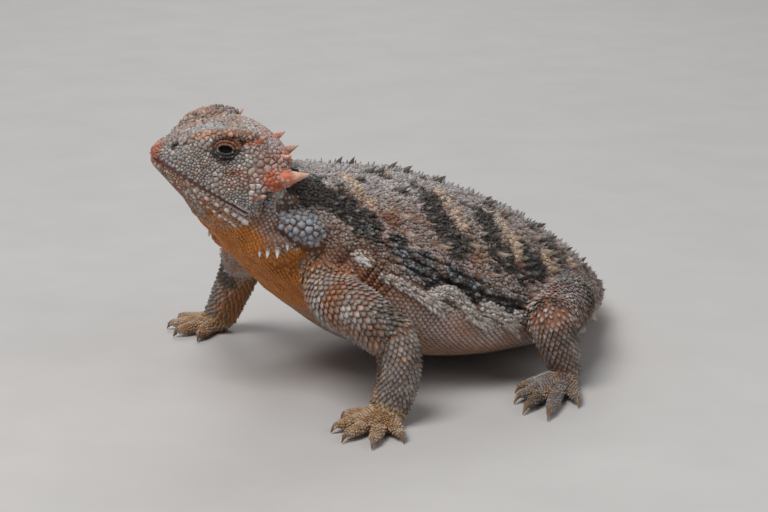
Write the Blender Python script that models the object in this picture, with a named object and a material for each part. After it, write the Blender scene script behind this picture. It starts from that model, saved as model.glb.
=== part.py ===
"""Greater short-horned lizard at life size, still, standing with its head raised.

The animal faces -Y and its left side is +X. The floor is Z = 0. Lengths in the
tables are millimetres for an animal of 75 mm from snout to vent, and every
vertex is scaled from them to metres when a mesh is made.
"""
import math

import bmesh
import bpy
import numpy as np
from mathutils import Matrix, Vector

# Driving sizes
SNOUT_VENT = 75.0
LENGTH = 0.001 * SNOUT_VENT / 75.0
TRUNK_HALF = 20.0
HEAD_HALF = 10.6
HEAD_LONG = 16.4
TAIL_LONG = 34.0
GAP = 0.3
ROOT_SUNK = 0.55

# Where the model's ground centre lies in the working frame of the tables
CENTRE_X = -1.094
CENTRE_Y = 23.511

# Head pose: turned a little to its right, nose slightly up, left side down
SNOUT = Vector((-6.5, -16.1, 32.6))
HEAD_YAW = 22.0
HEAD_PITCH = 6.0
HEAD_ROLL = 1.5

# Around and along counts of the lofts
BODY_SIDES = 28
HEAD_SIDES = 30
TOE_SIDES = 6

# Colours and roughness, linear RGB
GREY_TAN = (0.30, 0.23, 0.18)
ASH = (0.24, 0.21, 0.18)
RUST = (0.45, 0.20, 0.10)
ORANGE = (0.62, 0.24, 0.07)
HORN_RED = (0.55, 0.17, 0.09)
EYE_DARK = (0.012, 0.010, 0.010)
SAND = (0.40, 0.31, 0.23)

# Columns of a body or head station; the first is the place across
Y, Z, HEADING, PITCH, HALF, TOP, BOTTOM, SQ_TOP, SQ_BOTTOM = range(1, 10)


def body_table():
    """Stations from the neck's root in the head to the tail's tip."""
    w = TRUNK_HALF
    t = TAIL_LONG / 34.0
    return np.array([
        (-2.2, -7.6, 30.0, -8, 50, 0.36 * w, 5.6, 6.6, 2.2, 2.2),
        (-0.8, -2.9, 25.6, -4, 47, 0.47 * w, 7.2, 7.6, 2.2, 2.2),
        (0.0, 3.4, 21.0, 0, 34, 0.67 * w, 9.8, 9.2, 2.2, 2.1),
        (0.0, 8.2, 17.0, 0, 27, 0.85 * w, 12.6, 9.2, 2.2, 2.1),
        (0.0, 15.0, 13.0, 0, 24, 0.96 * w, 15.0, 9.7, 2.2, 2.2),
        (0.0, 24.0, 9.6, 0, 22, w, 14.6, 8.3, 2.2, 2.1),
        (0.0, 33.5, 7.2, 0, 20, 0.87 * w, 12.4, 6.4, 2.2, 2.0),
        (-0.4, 41.5, 5.6, 5, 17, 0.66 * w, 9.2, 5.3, 2.2, 2.1),
        (-1.6, 47.0, 4.7, 15, 12, 0.47 * w, 6.8, 4.85, 2.1, 2.3),
        (-3.8, 51.0, 4.0, 32, 8, 0.36 * w, 5.0, 4.2, 2.1, 2.4),
        (-7.4, 54.6 * t, 3.4, 50, 5, 0.29 * w, 4.0, 3.55, 2.1, 2.4),
        (-12.2, 57.6 * t, 2.8, 64, 4, 0.23 * w, 3.2, 2.95, 2.1, 2.4),
        (-18.0 * t, 59.4 * t, 2.2, 77, 4, 0.175 * w, 2.5, 2.35, 2.1, 2.3),
        (-24.0 * t, 60.0 * t, 1.65, 88, 3, 0.12 * w, 1.8, 1.8, 2.0, 2.2),
        (-29.6 * t, 59.4 * t, 1.15, 98, 2, 0.075 * w, 1.15, 1.25, 2.0, 2.2),
        (-34.0 * t, 58.2 * t, 0.75, 104, 1, 0.035 * w, 0.6, 0.75, 2.0, 2.0),
    ])


def head_table():
    """Stations of the head and jaw together, from the snout back, in the head's frame."""
    w = HEAD_HALF
    s = HEAD_LONG / 16.4
    return np.array([
        (0, 0.0, -0.2, 0, 0, 0.13 * w, 0.9, 0.9, 2.4, 2.2),
        (0, 0.7 * s, -0.2, 0, 0, 0.25 * w, 1.7, 1.6, 2.7, 2.2),
        (0, 2.0 * s, -0.4, 0, 0, 0.38 * w, 2.7, 2.6, 3.0, 2.2),
        (0, 4.2 * s, -0.7, 0, 0, 0.56 * w, 4.2, 4.4, 3.6, 2.2),
        (0, 6.6 * s, -1.0, 0, 2, 0.73 * w, 5.4, 6.2, 4.4, 2.2),
        (0, 9.2 * s, -1.2, 0, 5, 0.88 * w, 6.1, 7.6, 4.4, 2.2),
        (0, 11.6 * s, -1.2, 0, 10, 0.96 * w, 6.2, 8.2, 3.8, 2.1),
        (0, 13.6 * s, -1.1, 0, 16, w, 5.3, 7.8, 3.2, 2.1),
        (0, 15.1 * s, -0.9, 0, 20, 0.94 * w, 4.1, 6.8, 3.0, 2.2),
        (0, 16.2 * s, -0.7, 0, 22, 0.80 * w, 3.0, 5.2, 2.8, 2.2),
    ])


def blend(table, t):
    """Row of a table at the fractional index t, along a smooth curve through the rows."""
    last = len(table) - 1
    t = min(max(t, 0.0), float(last))
    i = min(int(t), last - 1)
    f = t - i
    a = table[max(i - 1, 0)]
    b = table[i]
    c = table[i + 1]
    d = table[min(i + 2, last)]
    bend = 2 * a - 5 * b + 4 * c - d
    twist = -a + 3 * b - 3 * c + d
    return 0.5 * (2 * b + (c - a) * f + bend * f * f + twist * f ** 3)


def power(value, n):
    """Signed power that squares off a round section."""
    return math.copysign(abs(value) ** (2.0 / n), value)


def station_axes(row):
    """Side and up directions of a station's plane."""
    h = math.radians(row[HEADING])
    p = math.radians(row[PITCH])
    side = Vector((math.cos(h), math.sin(h), 0.0))
    up = Vector((-math.sin(h) * math.sin(p), math.cos(h) * math.sin(p), math.cos(p)))
    return side, up


def surface(table, t, angle, swell=0.0):
    """Point of a lofted skin at station t and angle in degrees, 90 on top."""
    row = blend(table, t)
    side, up = station_axes(row)
    c = math.cos(math.radians(angle))
    s = math.sin(math.radians(angle))
    high = s >= 0
    n = row[SQ_TOP] if high else row[SQ_BOTTOM]
    tall = row[TOP] if high else row[BOTTOM]
    across = (row[HALF] + swell) * power(c, n)
    above = (tall + swell) * power(s, n)
    return Vector(row[:3]) + side * across + up * above


def normal_at(table, t, angle):
    """Outward direction of a lofted skin."""
    along = surface(table, t + 0.05, angle) - surface(table, t - 0.05, angle)
    around = surface(table, t, angle + 2) - surface(table, t, angle - 2)
    return along.cross(around).normalized()


def tailward(table, t, angle):
    """Direction along a lofted skin towards its last station."""
    return (surface(table, t + 0.05, angle) - surface(table, t - 0.05, angle)).normalized()


def material(name, colour, roughness):
    """A plain coloured surface."""
    made = bpy.data.materials.new(name)
    made.use_nodes = True
    shader = made.node_tree.nodes["Principled BSDF"]
    shader.inputs["Base Color"].default_value = (*colour, 1.0)
    shader.inputs["Roughness"].default_value = roughness
    shader.inputs["Metallic"].default_value = 0.0
    return made


def to_metres(point):
    """Working millimetres to the model's own metres."""
    return Vector((point.x - CENTRE_X, point.y - CENTRE_Y, point.z)) * LENGTH


def mesh_object(name, bm, collection, place=None):
    """Turn a bmesh in working millimetres into an object in metres."""
    if place is not None:
        bmesh.ops.transform(bm, matrix=place, verts=bm.verts)
    for vert in bm.verts:
        vert.co = to_metres(vert.co)
    bmesh.ops.recalc_face_normals(bm, faces=bm.faces)
    mesh = bpy.data.meshes.new(name)
    bm.to_mesh(mesh)
    bm.free()
    made = bpy.data.objects.new(name, mesh)
    collection.objects.link(made)
    return made


def skin_rings(bm, rings):
    """Join rings of equal count into one closed loft."""
    count = len(rings[0])
    loops = [[bm.verts.new(p) for p in ring] for ring in rings]
    for low, high in zip(loops, loops[1:]):
        for i in range(count):
            j = (i + 1) % count
            bm.faces.new((low[i], low[j], high[j], high[i]))
    bm.faces.new(loops[0][::-1])
    bm.faces.new(loops[-1])
    return bm


def loft(table, start, end, steps, sides, swell=0.0):
    """Closed loft of a table's stations from start to end."""
    rings = []
    for t in np.linspace(start, end, steps):
        rings.append([surface(table, t, 360.0 * i / sides, swell) for i in range(sides)])
    return skin_rings(bmesh.new(), rings)


def tube_rings(points, sides, hint):
    """Rings of a tube through points of (x, y, z, side radius, up radius)."""
    rings = []
    last = len(points) - 1
    for i, point in enumerate(points):
        ahead = Vector(points[min(i + 1, last)][:3])
        behind = Vector(points[max(i - 1, 0)][:3])
        along = (ahead - behind).normalized()
        side = along.cross(hint).normalized()
        up = side.cross(along)
        ring = []
        for k in range(sides):
            a = 2 * math.pi * (k + 0.5) / sides
            spoke = side * point[3] * math.cos(a) + up * point[4] * math.sin(a)
            ring.append(Vector(point[:3]) + spoke)
        rings.append(ring)
    return rings


def tube(table, start, end, steps, sides, hint=Vector((0, 0, 1))):
    """Closed tube along part of a path table."""
    table = np.array(table, float)
    points = [blend(table, t) for t in np.linspace(start, end, steps)]
    return skin_rings(bmesh.new(), tube_rings(points, sides, hint))


def carried_frames(table, times, hint):
    """Directions along, aside and above a path, carried along it without twist."""
    side = None
    frames = []
    walk = sorted(set(np.arange(0.0, max(times), 0.05)) | set(times))
    for t in walk:
        ahead = Vector(blend(table, t + 0.02)[:3]) - Vector(blend(table, t - 0.02)[:3])
        along = ahead.normalized()
        side = along.cross(hint) if side is None else side - along * side.dot(along)
        side.normalize()
        if t in times:
            frames.append((along, side.copy(), side.cross(along)))
    return frames


def limb_tube(path, start, end, steps, sides=12):
    """Closed tube along part of a limb, its ends square to the path."""
    table = np.array(path, float)
    times = list(np.linspace(start, end, steps))
    rings = []
    for t, (_, side, up) in zip(times, carried_frames(table, times, Vector((0, 0, 1)))):
        row = blend(table, t)
        ring = []
        for k in range(sides):
            a = 2 * math.pi * (k + 0.5) / sides
            ring.append(Vector(row[:3]) + side * row[3] * math.cos(a) + up * row[4] * math.sin(a))
        rings.append(ring)
    return skin_rings(bmesh.new(), rings)


def spine(root, direction, length, radius, sides=5, lean=0.0, flat=1.0, hint=None):
    """A pointed cone on a surface, its root sunk in, leaning by lean towards hint."""
    aim = direction.normalized()
    if hint is not None:
        aim = (aim * (1 - lean) + hint.normalized() * lean).normalized()
    bm = bmesh.new()
    bmesh.ops.create_cone(bm, cap_ends=True, segments=sides, radius1=radius, radius2=0.0,
                          depth=length + ROOT_SUNK)
    bmesh.ops.remove_doubles(bm, verts=bm.verts, dist=0.00001)
    bmesh.ops.scale(bm, vec=(1.0, flat, 1.0), verts=bm.verts)
    turn = aim.to_track_quat("Z", "Y").to_matrix().to_4x4()
    middle = root + aim * (0.5 * (length + ROOT_SUNK) - ROOT_SUNK)
    bmesh.ops.transform(bm, matrix=Matrix.Translation(middle) @ turn, verts=bm.verts)
    return bm


def ellipsoid(centre, radii, turn=None, cuts=10):
    """A ball stretched to three radii."""
    bm = bmesh.new()
    bmesh.ops.create_uvsphere(bm, u_segments=cuts + 2, v_segments=cuts, radius=1.0)
    bmesh.ops.scale(bm, vec=radii, verts=bm.verts)
    if turn is not None:
        bmesh.ops.transform(bm, matrix=turn.to_4x4(), verts=bm.verts)
    bmesh.ops.translate(bm, vec=centre, verts=bm.verts)
    return bm


def floor_box():
    """Everything below the floor, as a cutter."""
    bm = bmesh.new()
    bmesh.ops.create_cube(bm, size=1.0)
    bmesh.ops.scale(bm, vec=(160, 200, 20), verts=bm.verts)
    bmesh.ops.translate(bm, vec=(0, 20, -10), verts=bm.verts)
    return bm


def head_place():
    """Matrix from the head's frame, left, back and up, to the working frame."""
    yaw, pitch, roll = (math.radians(a) for a in (HEAD_YAW, HEAD_PITCH, HEAD_ROLL))
    ahead = Vector((-math.sin(yaw), -math.cos(yaw), 0))
    left = Vector((math.cos(yaw), -math.sin(yaw), 0))
    up = Vector((0, 0, 1))
    nose = ahead * math.cos(pitch) + up * math.sin(pitch)
    crown = up * math.cos(pitch) - ahead * math.sin(pitch)
    side = left * math.cos(roll) - crown * math.sin(roll)
    top = crown * math.cos(roll) + left * math.sin(roll)
    rows = [(side[i], -nose[i], top[i], SNOUT[i]) for i in range(3)]
    return Matrix((*rows, (0, 0, 0, 1)))


def largest_piece(bm):
    """Keep only the closed surface with the greatest volume."""
    seen = set()
    groups = []
    for first in bm.faces:
        if first in seen:
            continue
        stack = [first]
        seen.add(first)
        group = []
        while stack:
            face = stack.pop()
            group.append(face)
            for edge in face.edges:
                for other in edge.link_faces:
                    if other not in seen:
                        seen.add(other)
                        stack.append(other)
        groups.append(group)
    if len(groups) > 1:
        groups.sort(key=lambda g: abs(shell_volume(g)))
        spare = [face for group in groups[:-1] for face in group]
        bmesh.ops.delete(bm, geom=spare, context="FACES")


def shell_volume(faces):
    """Signed volume inside a set of faces."""
    total = 0.0
    for face in faces:
        verts = face.verts
        for i in range(1, len(verts) - 1):
            total += verts[0].co.dot(verts[i].co.cross(verts[i + 1].co)) / 6.0
    return total


class Model:
    """The collections of the model and the joining of each node's pieces."""

    def __init__(self, name):
        self.solids = bpy.data.collections.new(name)
        self.cutters = bpy.data.collections.new("cutters")
        bpy.context.scene.collection.children.link(self.solids)
        bpy.context.scene.collection.children.link(self.cutters)
        self.cutters.hide_render = True
        self.place = head_place()

    def gather(self, label, pieces, place):
        """Put pieces into a collection of their own under the cutters."""
        group = bpy.data.collections.new(label)
        self.cutters.children.link(group)
        for i, bm in enumerate(pieces):
            made = mesh_object(f"{label}_{i}", bm, group, place)
            made.display_type = "WIRE"
        return group

    def node(self, name, colour, base, add=(), cut=(), place=None, rough=0.7):
        """One named node: a base with pieces fused on and others cut away."""
        target = mesh_object(name, base, self.solids, place)
        groups = []
        for label, pieces, kind in (("add", add, "UNION"), ("cut", cut, "DIFFERENCE")):
            for i, batch in enumerate(split_by_place(pieces, place)):
                group = self.gather(f"{name}_{label}_{i}", *batch)
                groups.append(group)
                step = target.modifiers.new(f"{label}_{i}", "BOOLEAN")
                step.operation = kind
                step.operand_type = "COLLECTION"
                step.collection = group
                step.solver = "MANIFOLD"
        self.apply(target)
        for group in groups:
            self.clear(group)
        target.data.materials.append(material(name, colour, rough))
        return target

    def apply(self, target):
        """Apply the modifiers and keep the largest closed surface."""
        graph = bpy.context.evaluated_depsgraph_get()
        graph.update()
        mesh = bpy.data.meshes.new_from_object(target.evaluated_get(graph))
        target.modifiers.clear()
        bm = bmesh.new()
        bm.from_mesh(mesh)
        bmesh.ops.remove_doubles(bm, verts=bm.verts, dist=0.0000002)
        bmesh.ops.dissolve_degenerate(bm, edges=bm.edges, dist=0.0000002)
        largest_piece(bm)
        loose = [v for v in bm.verts if not v.link_faces]
        bmesh.ops.delete(bm, geom=loose, context="VERTS")
        bmesh.ops.triangulate(bm, faces=bm.faces)
        bm.to_mesh(mesh)
        bm.free()
        mesh.materials.clear()
        old = target.data
        target.data = mesh
        bpy.data.meshes.remove(old)
        mesh.name = target.name

    def clear(self, group):
        """Remove a collection of pieces that have been used."""
        for made in list(group.objects):
            bpy.data.objects.remove(made, do_unlink=True)
        bpy.data.collections.remove(group)


def split_by_place(pieces, place):
    """Pieces in the node's own frame, then those given in the working frame."""
    own = [p for p in pieces if not isinstance(p, tuple)]
    world = [p[0] for p in pieces if isinstance(p, tuple)]
    batches = []
    if own:
        batches.append((own, place))
    if world:
        batches.append((world, None))
    return batches


BODY = body_table()
HEAD = head_table()

# Body stations at which the nodes part
NECK_END = 1.5
TRUNK_END = 9.0
TAIL_MIDDLE = 11.5
TAIL_END = len(BODY) - 1.0


def gap_in_stations(t):
    """Station difference that makes a gap of GAP along the body at t."""
    step = (surface(BODY, t + 0.01, 0) + surface(BODY, t + 0.01, 180)
            - surface(BODY, t, 0) - surface(BODY, t, 180)).length / 2
    return 0.01 * GAP / step


# Mouth line in the head's frame, back and up, from the lip to the corner
MOUTH = ((-2.0, 0.0), (0.0, -0.1), (3.2, -1.4), (6.7, -3.0), (9.6, -4.2), (11.4, -5.1))
JAW_REAR = ((12.0, -6.4), (12.5, -8.8), (12.7, -16.0))
ACROSS = 15.0


def mouth_block(shift, beyond):
    """Block across the head on one side of the mouth line, moved up and back by shift."""
    line = [(b + 0.35 * shift, u + shift) for b, u in MOUTH]
    line += [(b + shift, u) for b, u in JAW_REAR]
    bm = bmesh.new()
    face = bm.faces.new([bm.verts.new((-ACROSS, b, u)) for b, u in (*line, *beyond)])
    moved = bmesh.ops.extrude_face_region(bm, geom=[face])["geom"]
    verts = [g for g in moved if isinstance(g, bmesh.types.BMVert)]
    bmesh.ops.translate(bm, vec=(2 * ACROSS, 0, 0), verts=verts)
    return bm


def jaw_block():
    """All of the jaw and half the gap over it."""
    return mouth_block(GAP / 2, [(-2.0, -16.0)])


def skull_block():
    """All of the head except the jaw, and half the gap."""
    return mouth_block(-GAP / 2, [(30.0, -16.0), (30.0, 14.0), (-2.0, 14.0)])


# Eye: centre for the left side in the head's frame, and its radius
EYE_AT = Vector((6.9, 8.6, 2.85))
EYE_RADIUS = 1.65

# Ridge over the left eye: left, back, up and the two radii
BROW = ((3.1, 3.0, 2.4, 0.50, 0.40), (5.1, 4.8, 3.8, 0.70, 0.50), (7.1, 7.3, 4.75, 0.90, 0.55),
        (8.1, 9.8, 5.1, 1.0, 0.55), (8.2, 12.3, 4.8, 0.85, 0.55))

# Bulge over the left eye, nostril and ear opening: centres and radii
BULGE_AT, BULGE_RADII = (6.0, 8.3, 3.6), (2.4, 3.6, 1.75)
NOSTRIL_AT, NOSTRIL_RADII = (2.9, 2.5, 2.0), (0.75, 0.42, 0.36)
EAR_BACK, EAR_UP, EAR_RADII = 13.6, -3.4, (1.1, 0.55, 1.7)

# Horns for the left side: root, tip and root radius
OCCIPITAL = ((3.6, 14.2, 1.7), (4.4, 18.3, 3.3), 1.35)
TEMPORAL = ((8.4, 12.6, -0.4), (12.2, 18.4, 1.2), 2.0)
SMALL_HORNS = (
    ((7.4, 13.4, 1.9), (8.8, 16.6, 2.8), 1.1),
    ((8.9, 11.4, -2.2), (10.6, 13.4, -2.3), 0.9),
    ((7.7, 10.6, 3.7), (8.7, 13.2, 5.2), 0.9),
)


def mirrored(point, sign):
    """A point of the left side, or its twin on the right."""
    return Vector((point[0] * sign, point[1], point[2]))


def horn(root, tip, radius, sides=10):
    """A horn as a ring-built cone, slightly curved up towards its tip."""
    root, tip = Vector(root), Vector(tip)
    path = []
    for i in range(5):
        f = i / 4.0
        point = root.lerp(tip, f) - Vector((0, 0, 0.35 * math.sin(math.pi * f)))
        r = radius * (1 - f) ** 0.8 + 0.07
        path.append((*point, r, r))
    return skin_rings(bmesh.new(), tube_rings(path, sides, Vector((0, 0, 1))))


def lid_tube(sign, low):
    """Upper or lower lid as a bent tube over the eye."""
    path = []
    for i in range(9):
        f = i / 8.0
        a = math.pi * f
        b = EYE_AT.y - 2.2 * math.cos(a)
        u = EYE_AT.z + (-1.45 if low else 1.5) * math.sin(a)
        out = EYE_AT.x + 0.75 + 0.45 * math.sin(a) + 0.34 * (b - EYE_AT.y)
        r = 0.42 + 0.12 * math.sin(a)
        path.append((sign * out, b, u, r, r))
    return skin_rings(bmesh.new(), tube_rings(path, 6, Vector((sign, 0, 0.2))))


def brow_tube(sign):
    """Ridge over the eye from the snout's side to the crown's rear corner."""
    path = [(sign * x, *rest) for x, *rest in BROW]
    return tube(path, 0, len(BROW) - 1, 9, 7)


def lip_tube(sign, above):
    """Row of lip plates as a low ridge along the mouth."""
    path = []
    for t in np.linspace(1.35, 4.8, 12):
        b, u = blend(np.array(MOUTH), t)
        x = head_side(b, u) - 0.12
        path.append((sign * x, b, u + (0.62 if above else -0.62), 0.42, 0.42))
    return skin_rings(bmesh.new(), tube_rings(path, 6, Vector((0, 0, 1))))


def head_row_at(back):
    """The head's station values at a distance behind the snout."""
    t = np.interp(back, HEAD[:, Y], range(len(HEAD)))
    return blend(HEAD, t)


def head_side(back, level):
    """Half width of the head at a distance back and a height."""
    row = head_row_at(back)
    high = level > row[Z]
    n = row[SQ_TOP] if high else row[SQ_BOTTOM]
    share = abs(level - row[Z]) / (row[TOP] if high else row[BOTTOM])
    return row[HALF] * (1 - min(share, 0.999) ** n) ** (1 / n)


def jaw_shields(sign):
    """Pointed chin shields along the jaw's edge, larger towards the corner."""
    made = []
    for i in range(7):
        f = i / 6.0
        t = 2.2 + 3.3 * f
        angle = -27 - 6 * f if sign > 0 else 207 + 6 * f
        at = surface(HEAD, t, angle)
        out = normal_at(HEAD, t, angle) + Vector((0, 0.45, -0.2))
        made.append(spine(at, out, 0.6 + 0.6 * f, 0.75 + 0.4 * f, 6))
    return made


def build_head(model):
    """Head, jaw, eyes and horns."""
    head_add = []
    head_cut = [jaw_block()]
    jaw_add = []
    for sign in (1, -1):
        head_add += [brow_tube(sign), lid_tube(sign, False), lid_tube(sign, True)]
        head_add.append(lip_tube(sign, True))
        head_add.append(ellipsoid(mirrored(BULGE_AT, sign), BULGE_RADII, cuts=7))
        jaw_add.append(lip_tube(sign, False))
        jaw_add += jaw_shields(sign)
        for root, tip, radius in SMALL_HORNS:
            head_add.append(horn(mirrored(root, sign), mirrored(tip, sign), radius, 7))
        eye = mirrored(EYE_AT, sign)
        head_cut.append(ellipsoid(eye, (EYE_RADIUS + GAP,) * 3, cuts=11))
        head_cut.append(ellipsoid(mirrored(NOSTRIL_AT, sign), NOSTRIL_RADII, cuts=6))
        ear = (head_side(EAR_BACK, EAR_UP) + 0.2, EAR_BACK, EAR_UP)
        head_cut.append(ellipsoid(mirrored(ear, sign), EAR_RADII, cuts=6))
    base = loft(HEAD, 0, len(HEAD) - 1, 18, HEAD_SIDES)
    model.node("head", GREY_TAN, base, head_add, head_cut, model.place)
    base = loft(HEAD, 0, len(HEAD) - 1, 18, HEAD_SIDES)
    model.node("jaw", RUST, base, jaw_add, [skull_block()], model.place)
    for side, sign in (("left", 1), ("right", -1)):
        ball = ellipsoid(mirrored(EYE_AT, sign), (EYE_RADIUS,) * 3, cuts=11)
        model.node(f"eye_{side}", EYE_DARK, ball, place=model.place, rough=0.1)
        for label, (root, tip, radius) in (("occipital", OCCIPITAL), ("temporal", TEMPORAL)):
            made = horn(mirrored(root, sign), mirrored(tip, sign), radius)
            skull = loft(HEAD, 0, len(HEAD) - 1, 18, HEAD_SIDES, GAP)
            model.node(f"horn_{label}_{side}", HORN_RED, made, cut=[skull],
                       place=model.place, rough=0.5)


def whole_head(swell):
    """The head's plain form, swollen, with its ends moved out as well."""
    table = HEAD.copy()
    table[0, Y] -= swell
    table[-1, Y] += swell
    return loft(table, 0, len(HEAD) - 1, 18, HEAD_SIDES, swell)


def near_limb(point, margin):
    """Whether a point lies within margin of the skin of an upper arm or thigh."""
    for path in (FORE_LEFT, FORE_RIGHT, HIND_LEFT, HIND_RIGHT):
        table = np.array(path, float)
        for t in np.arange(0.0, KNEE + 0.6, 0.2):
            row = blend(table, t)
            if (Vector(row[:3]) - point).length < max(row[3], row[4]) + margin:
                return True
    return False


def body_spine(made, t, angle, size, lean):
    """Add a spine of length and radius on the body, unless a limb is in its way."""
    length, radius = size
    at = surface(BODY, t, angle)
    out = normal_at(BODY, t, angle)
    back = tailward(BODY, t, angle)
    middle = at + (out + back * lean).normalized() * length * 0.6
    if near_limb(middle, 0.5 * length + 0.6) or near_limb(at, radius + 0.5):
        return
    made.append(spine(at, out, length, radius, 5, lean, 1.0, back))


def dorsal_spines():
    """Enlarged spines of the back in long rows on each side of the midline."""
    made = []
    for row, angle in enumerate((78, 57, 36, 18)):
        count = 9 - row // 2
        for i in range(count):
            t = 2.5 + (i + 0.5 * (row % 2)) * 5.9 / count
            size = (1.0 - 0.12 * row) * (0.85 + 0.3 * math.sin(i * 2.4 + row))
            for a in (angle, 180 - angle):
                body_spine(made, t, a, (2.1 * size, 0.95 * size), 0.42)
    return made


# Waves of the side fringe: station and angle along each, front to back
FRINGE_WAVES = (
    ((2.7, -7), (3.4, -6), (3.7, -6.5)),
    ((3.6, 1), (3.85, 3), (4.1, 0), (4.5, -6.5)),
    ((4.45, 2), (4.65, 1), (5.0, -6)),
    ((4.95, 1), (5.3, 2), (5.8, -6)),
    ((5.7, 0), (6.1, 2), (6.7, -5)),
    ((6.6, 1), (7.0, 1), (7.4, -3)),
)
FRINGE_COUNT = 5


def fringe():
    """Waves of pointed scales along each flank, the longest at each wave's rear end."""
    made = []
    for wave in FRINGE_WAVES:
        for i in range(FRINGE_COUNT):
            f = i / (FRINGE_COUNT - 1)
            t, angle = blend(np.array(wave, float), f * (len(wave) - 1))
            for a in (angle, 180 - angle):
                body_spine(made, t, a, (1.1 + 0.8 * f, 0.85), 0.45)
    return made


def build_body(model):
    """Neck, torso and tail, parted across the body."""
    gap = gap_in_stations(NECK_END)
    neck = loft(BODY, 0, NECK_END - gap / 2, 8, BODY_SIDES)
    head_cut = posed(whole_head(GAP), model.place)
    shoulders = loft(BODY, NECK_END - gap / 2, NECK_END + 0.8, 4, BODY_SIDES, 4.0)
    model.node("neck", ORANGE, neck, neck_scutes(), [(head_cut,), (shoulders,)])
    torso = loft(BODY, NECK_END + gap / 2, TRUNK_END - gap / 2, 22, BODY_SIDES)
    model.node("torso", GREY_TAN, torso, dorsal_spines() + fringe(), [(floor_box(),)])
    spans = (("tail_base", TRUNK_END, TAIL_MIDDLE, 8), ("tail_tip", TAIL_MIDDLE, TAIL_END, 9))
    for name, start, end, steps in spans:
        gap = gap_in_stations(start) / 2
        spines = tail_spines(start, end)
        if end < TAIL_END:
            end -= gap_in_stations(end) / 2
        tail = loft(BODY, start + gap, end, steps, 16)
        model.node(name, ASH, tail, spines, [(floor_box(),)])


def posed(bm, place):
    """A piece moved from the head's frame to the working frame."""
    bmesh.ops.transform(bm, matrix=place, verts=bm.verts)
    return bm


def neck_scutes():
    """Folded pad and pointed scales on each side of the neck."""
    made = []
    for base in (0, 180):
        sign = 1 if base == 0 else -1
        at = surface(BODY, 1.15, base - sign * 5)
        made.append(ellipsoid(at, (1.8, 2.5, 1.8), cuts=6))
        for i in range(3):
            t = 0.95 + 0.16 * i
            a = base - sign * 40
            made.append(spine(surface(BODY, t, a), normal_at(BODY, t, a), 1.2, 0.7, 5))
    return made


def tail_spines(start, end):
    """Spines of the tail between two stations, smaller towards its tip."""
    made = []
    for row, angle in enumerate((70, 35, 5)):
        for i in range(9):
            t = 9.5 + (i + 0.5 * (row % 2)) * 0.58
            if not start + 0.25 < t < min(end - 0.25, 14.4):
                continue
            size = 1.0 - 0.09 * i
            for a in (angle, 180 - angle):
                body_spine(made, t, a, (1.9 * size, 0.75 * size), 0.45)
    return made


# Limb paths in the working frame: x, y, z and the two radii of each section.
# The knee or elbow is row KNEE, the ankle or wrist is row ANKLE.
KNEE = 3
ANKLE = 6
FORE_LEFT = (
    (6.0, 2.5, 18.0, 3.6, 3.6),
    (12.0, -0.3, 15.3, 3.4, 3.4),
    (16.8, 0.5, 13.8, 3.2, 3.3),
    (21.3, 2.4, 11.4, 2.8, 2.9),
    (22.4, 2.7, 8.2, 2.7, 2.6),
    (22.3, 2.3, 5.2, 2.6, 2.5),
    (22.2, 1.4, 2.7, 2.3, 2.3),
    (22.3, 0.6, 1.5, 2.4, 1.8),
)
FORE_RIGHT = (
    (-6.0, 3.0, 18.0, 3.6, 3.6),
    (-12.0, 2.6, 16.4, 3.4, 3.4),
    (-16.8, 4.6, 14.8, 3.2, 3.3),
    (-21.4, 7.0, 12.4, 2.8, 2.9),
    (-23.6, 7.4, 9.2, 2.7, 2.6),
    (-25.6, 7.1, 5.8, 2.5, 2.4),
    (-27.2, 6.7, 2.9, 2.3, 2.2),
    (-28.0, 6.2, 1.5, 2.4, 1.8),
)
HIND_LEFT = (
    (7.0, 43.0, 7.5, 4.2, 4.2),
    (13.2, 38.4, 8.4, 4.1, 4.3),
    (18.2, 32.8, 9.4, 3.6, 3.8),
    (22.6, 27.8, 9.9, 2.9, 3.0),
    (23.2, 28.2, 7.2, 2.6, 2.7),
    (23.1, 29.2, 4.8, 2.3, 2.4),
    (23.0, 30.2, 2.6, 1.9, 2.0),
    (22.9, 30.2, 1.4, 1.9, 1.8),
)
HIND_RIGHT = (
    (-7.0, 43.5, 7.5, 4.2, 4.2),
    (-13.8, 41.0, 8.6, 4.1, 4.3),
    (-19.2, 37.6, 9.4, 3.6, 3.8),
    (-23.6, 34.4, 9.8, 2.9, 3.0),
    (-24.1, 35.2, 7.2, 2.6, 2.7),
    (-24.0, 36.4, 4.8, 2.3, 2.4),
    (-23.9, 37.6, 2.6, 1.9, 2.0),
    (-23.9, 37.6, 1.4, 1.9, 1.8),
)

# Toe tips on the floor, from the inner toe to the outer one
FORE_TOES_LEFT = ((17.6, -3.2), (20.9, -7.0), (25.0, -8.2), (29.2, -6.6), (29.6, -2.0))
FORE_TOES_RIGHT = ((-24.2, 0.6), (-28.4, -0.9), (-32.8, 0.6), (-35.6, 4.0), (-33.4, 9.0))
HIND_TOES_LEFT = ((22.0, 22.2), (25.4, 19.2), (29.6, 17.2), (33.4, 18.2), (31.6, 25.0))
HIND_TOES_RIGHT = ((-23.4, 29.8), (-26.6, 26.8), (-31.0, 25.4), (-34.8, 27.0), (-33.2, 33.0))


def swollen(path, extra):
    """A limb path with its radii enlarged."""
    return [(*row[:3], row[3] + extra, row[4] + extra) for row in path]


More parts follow.
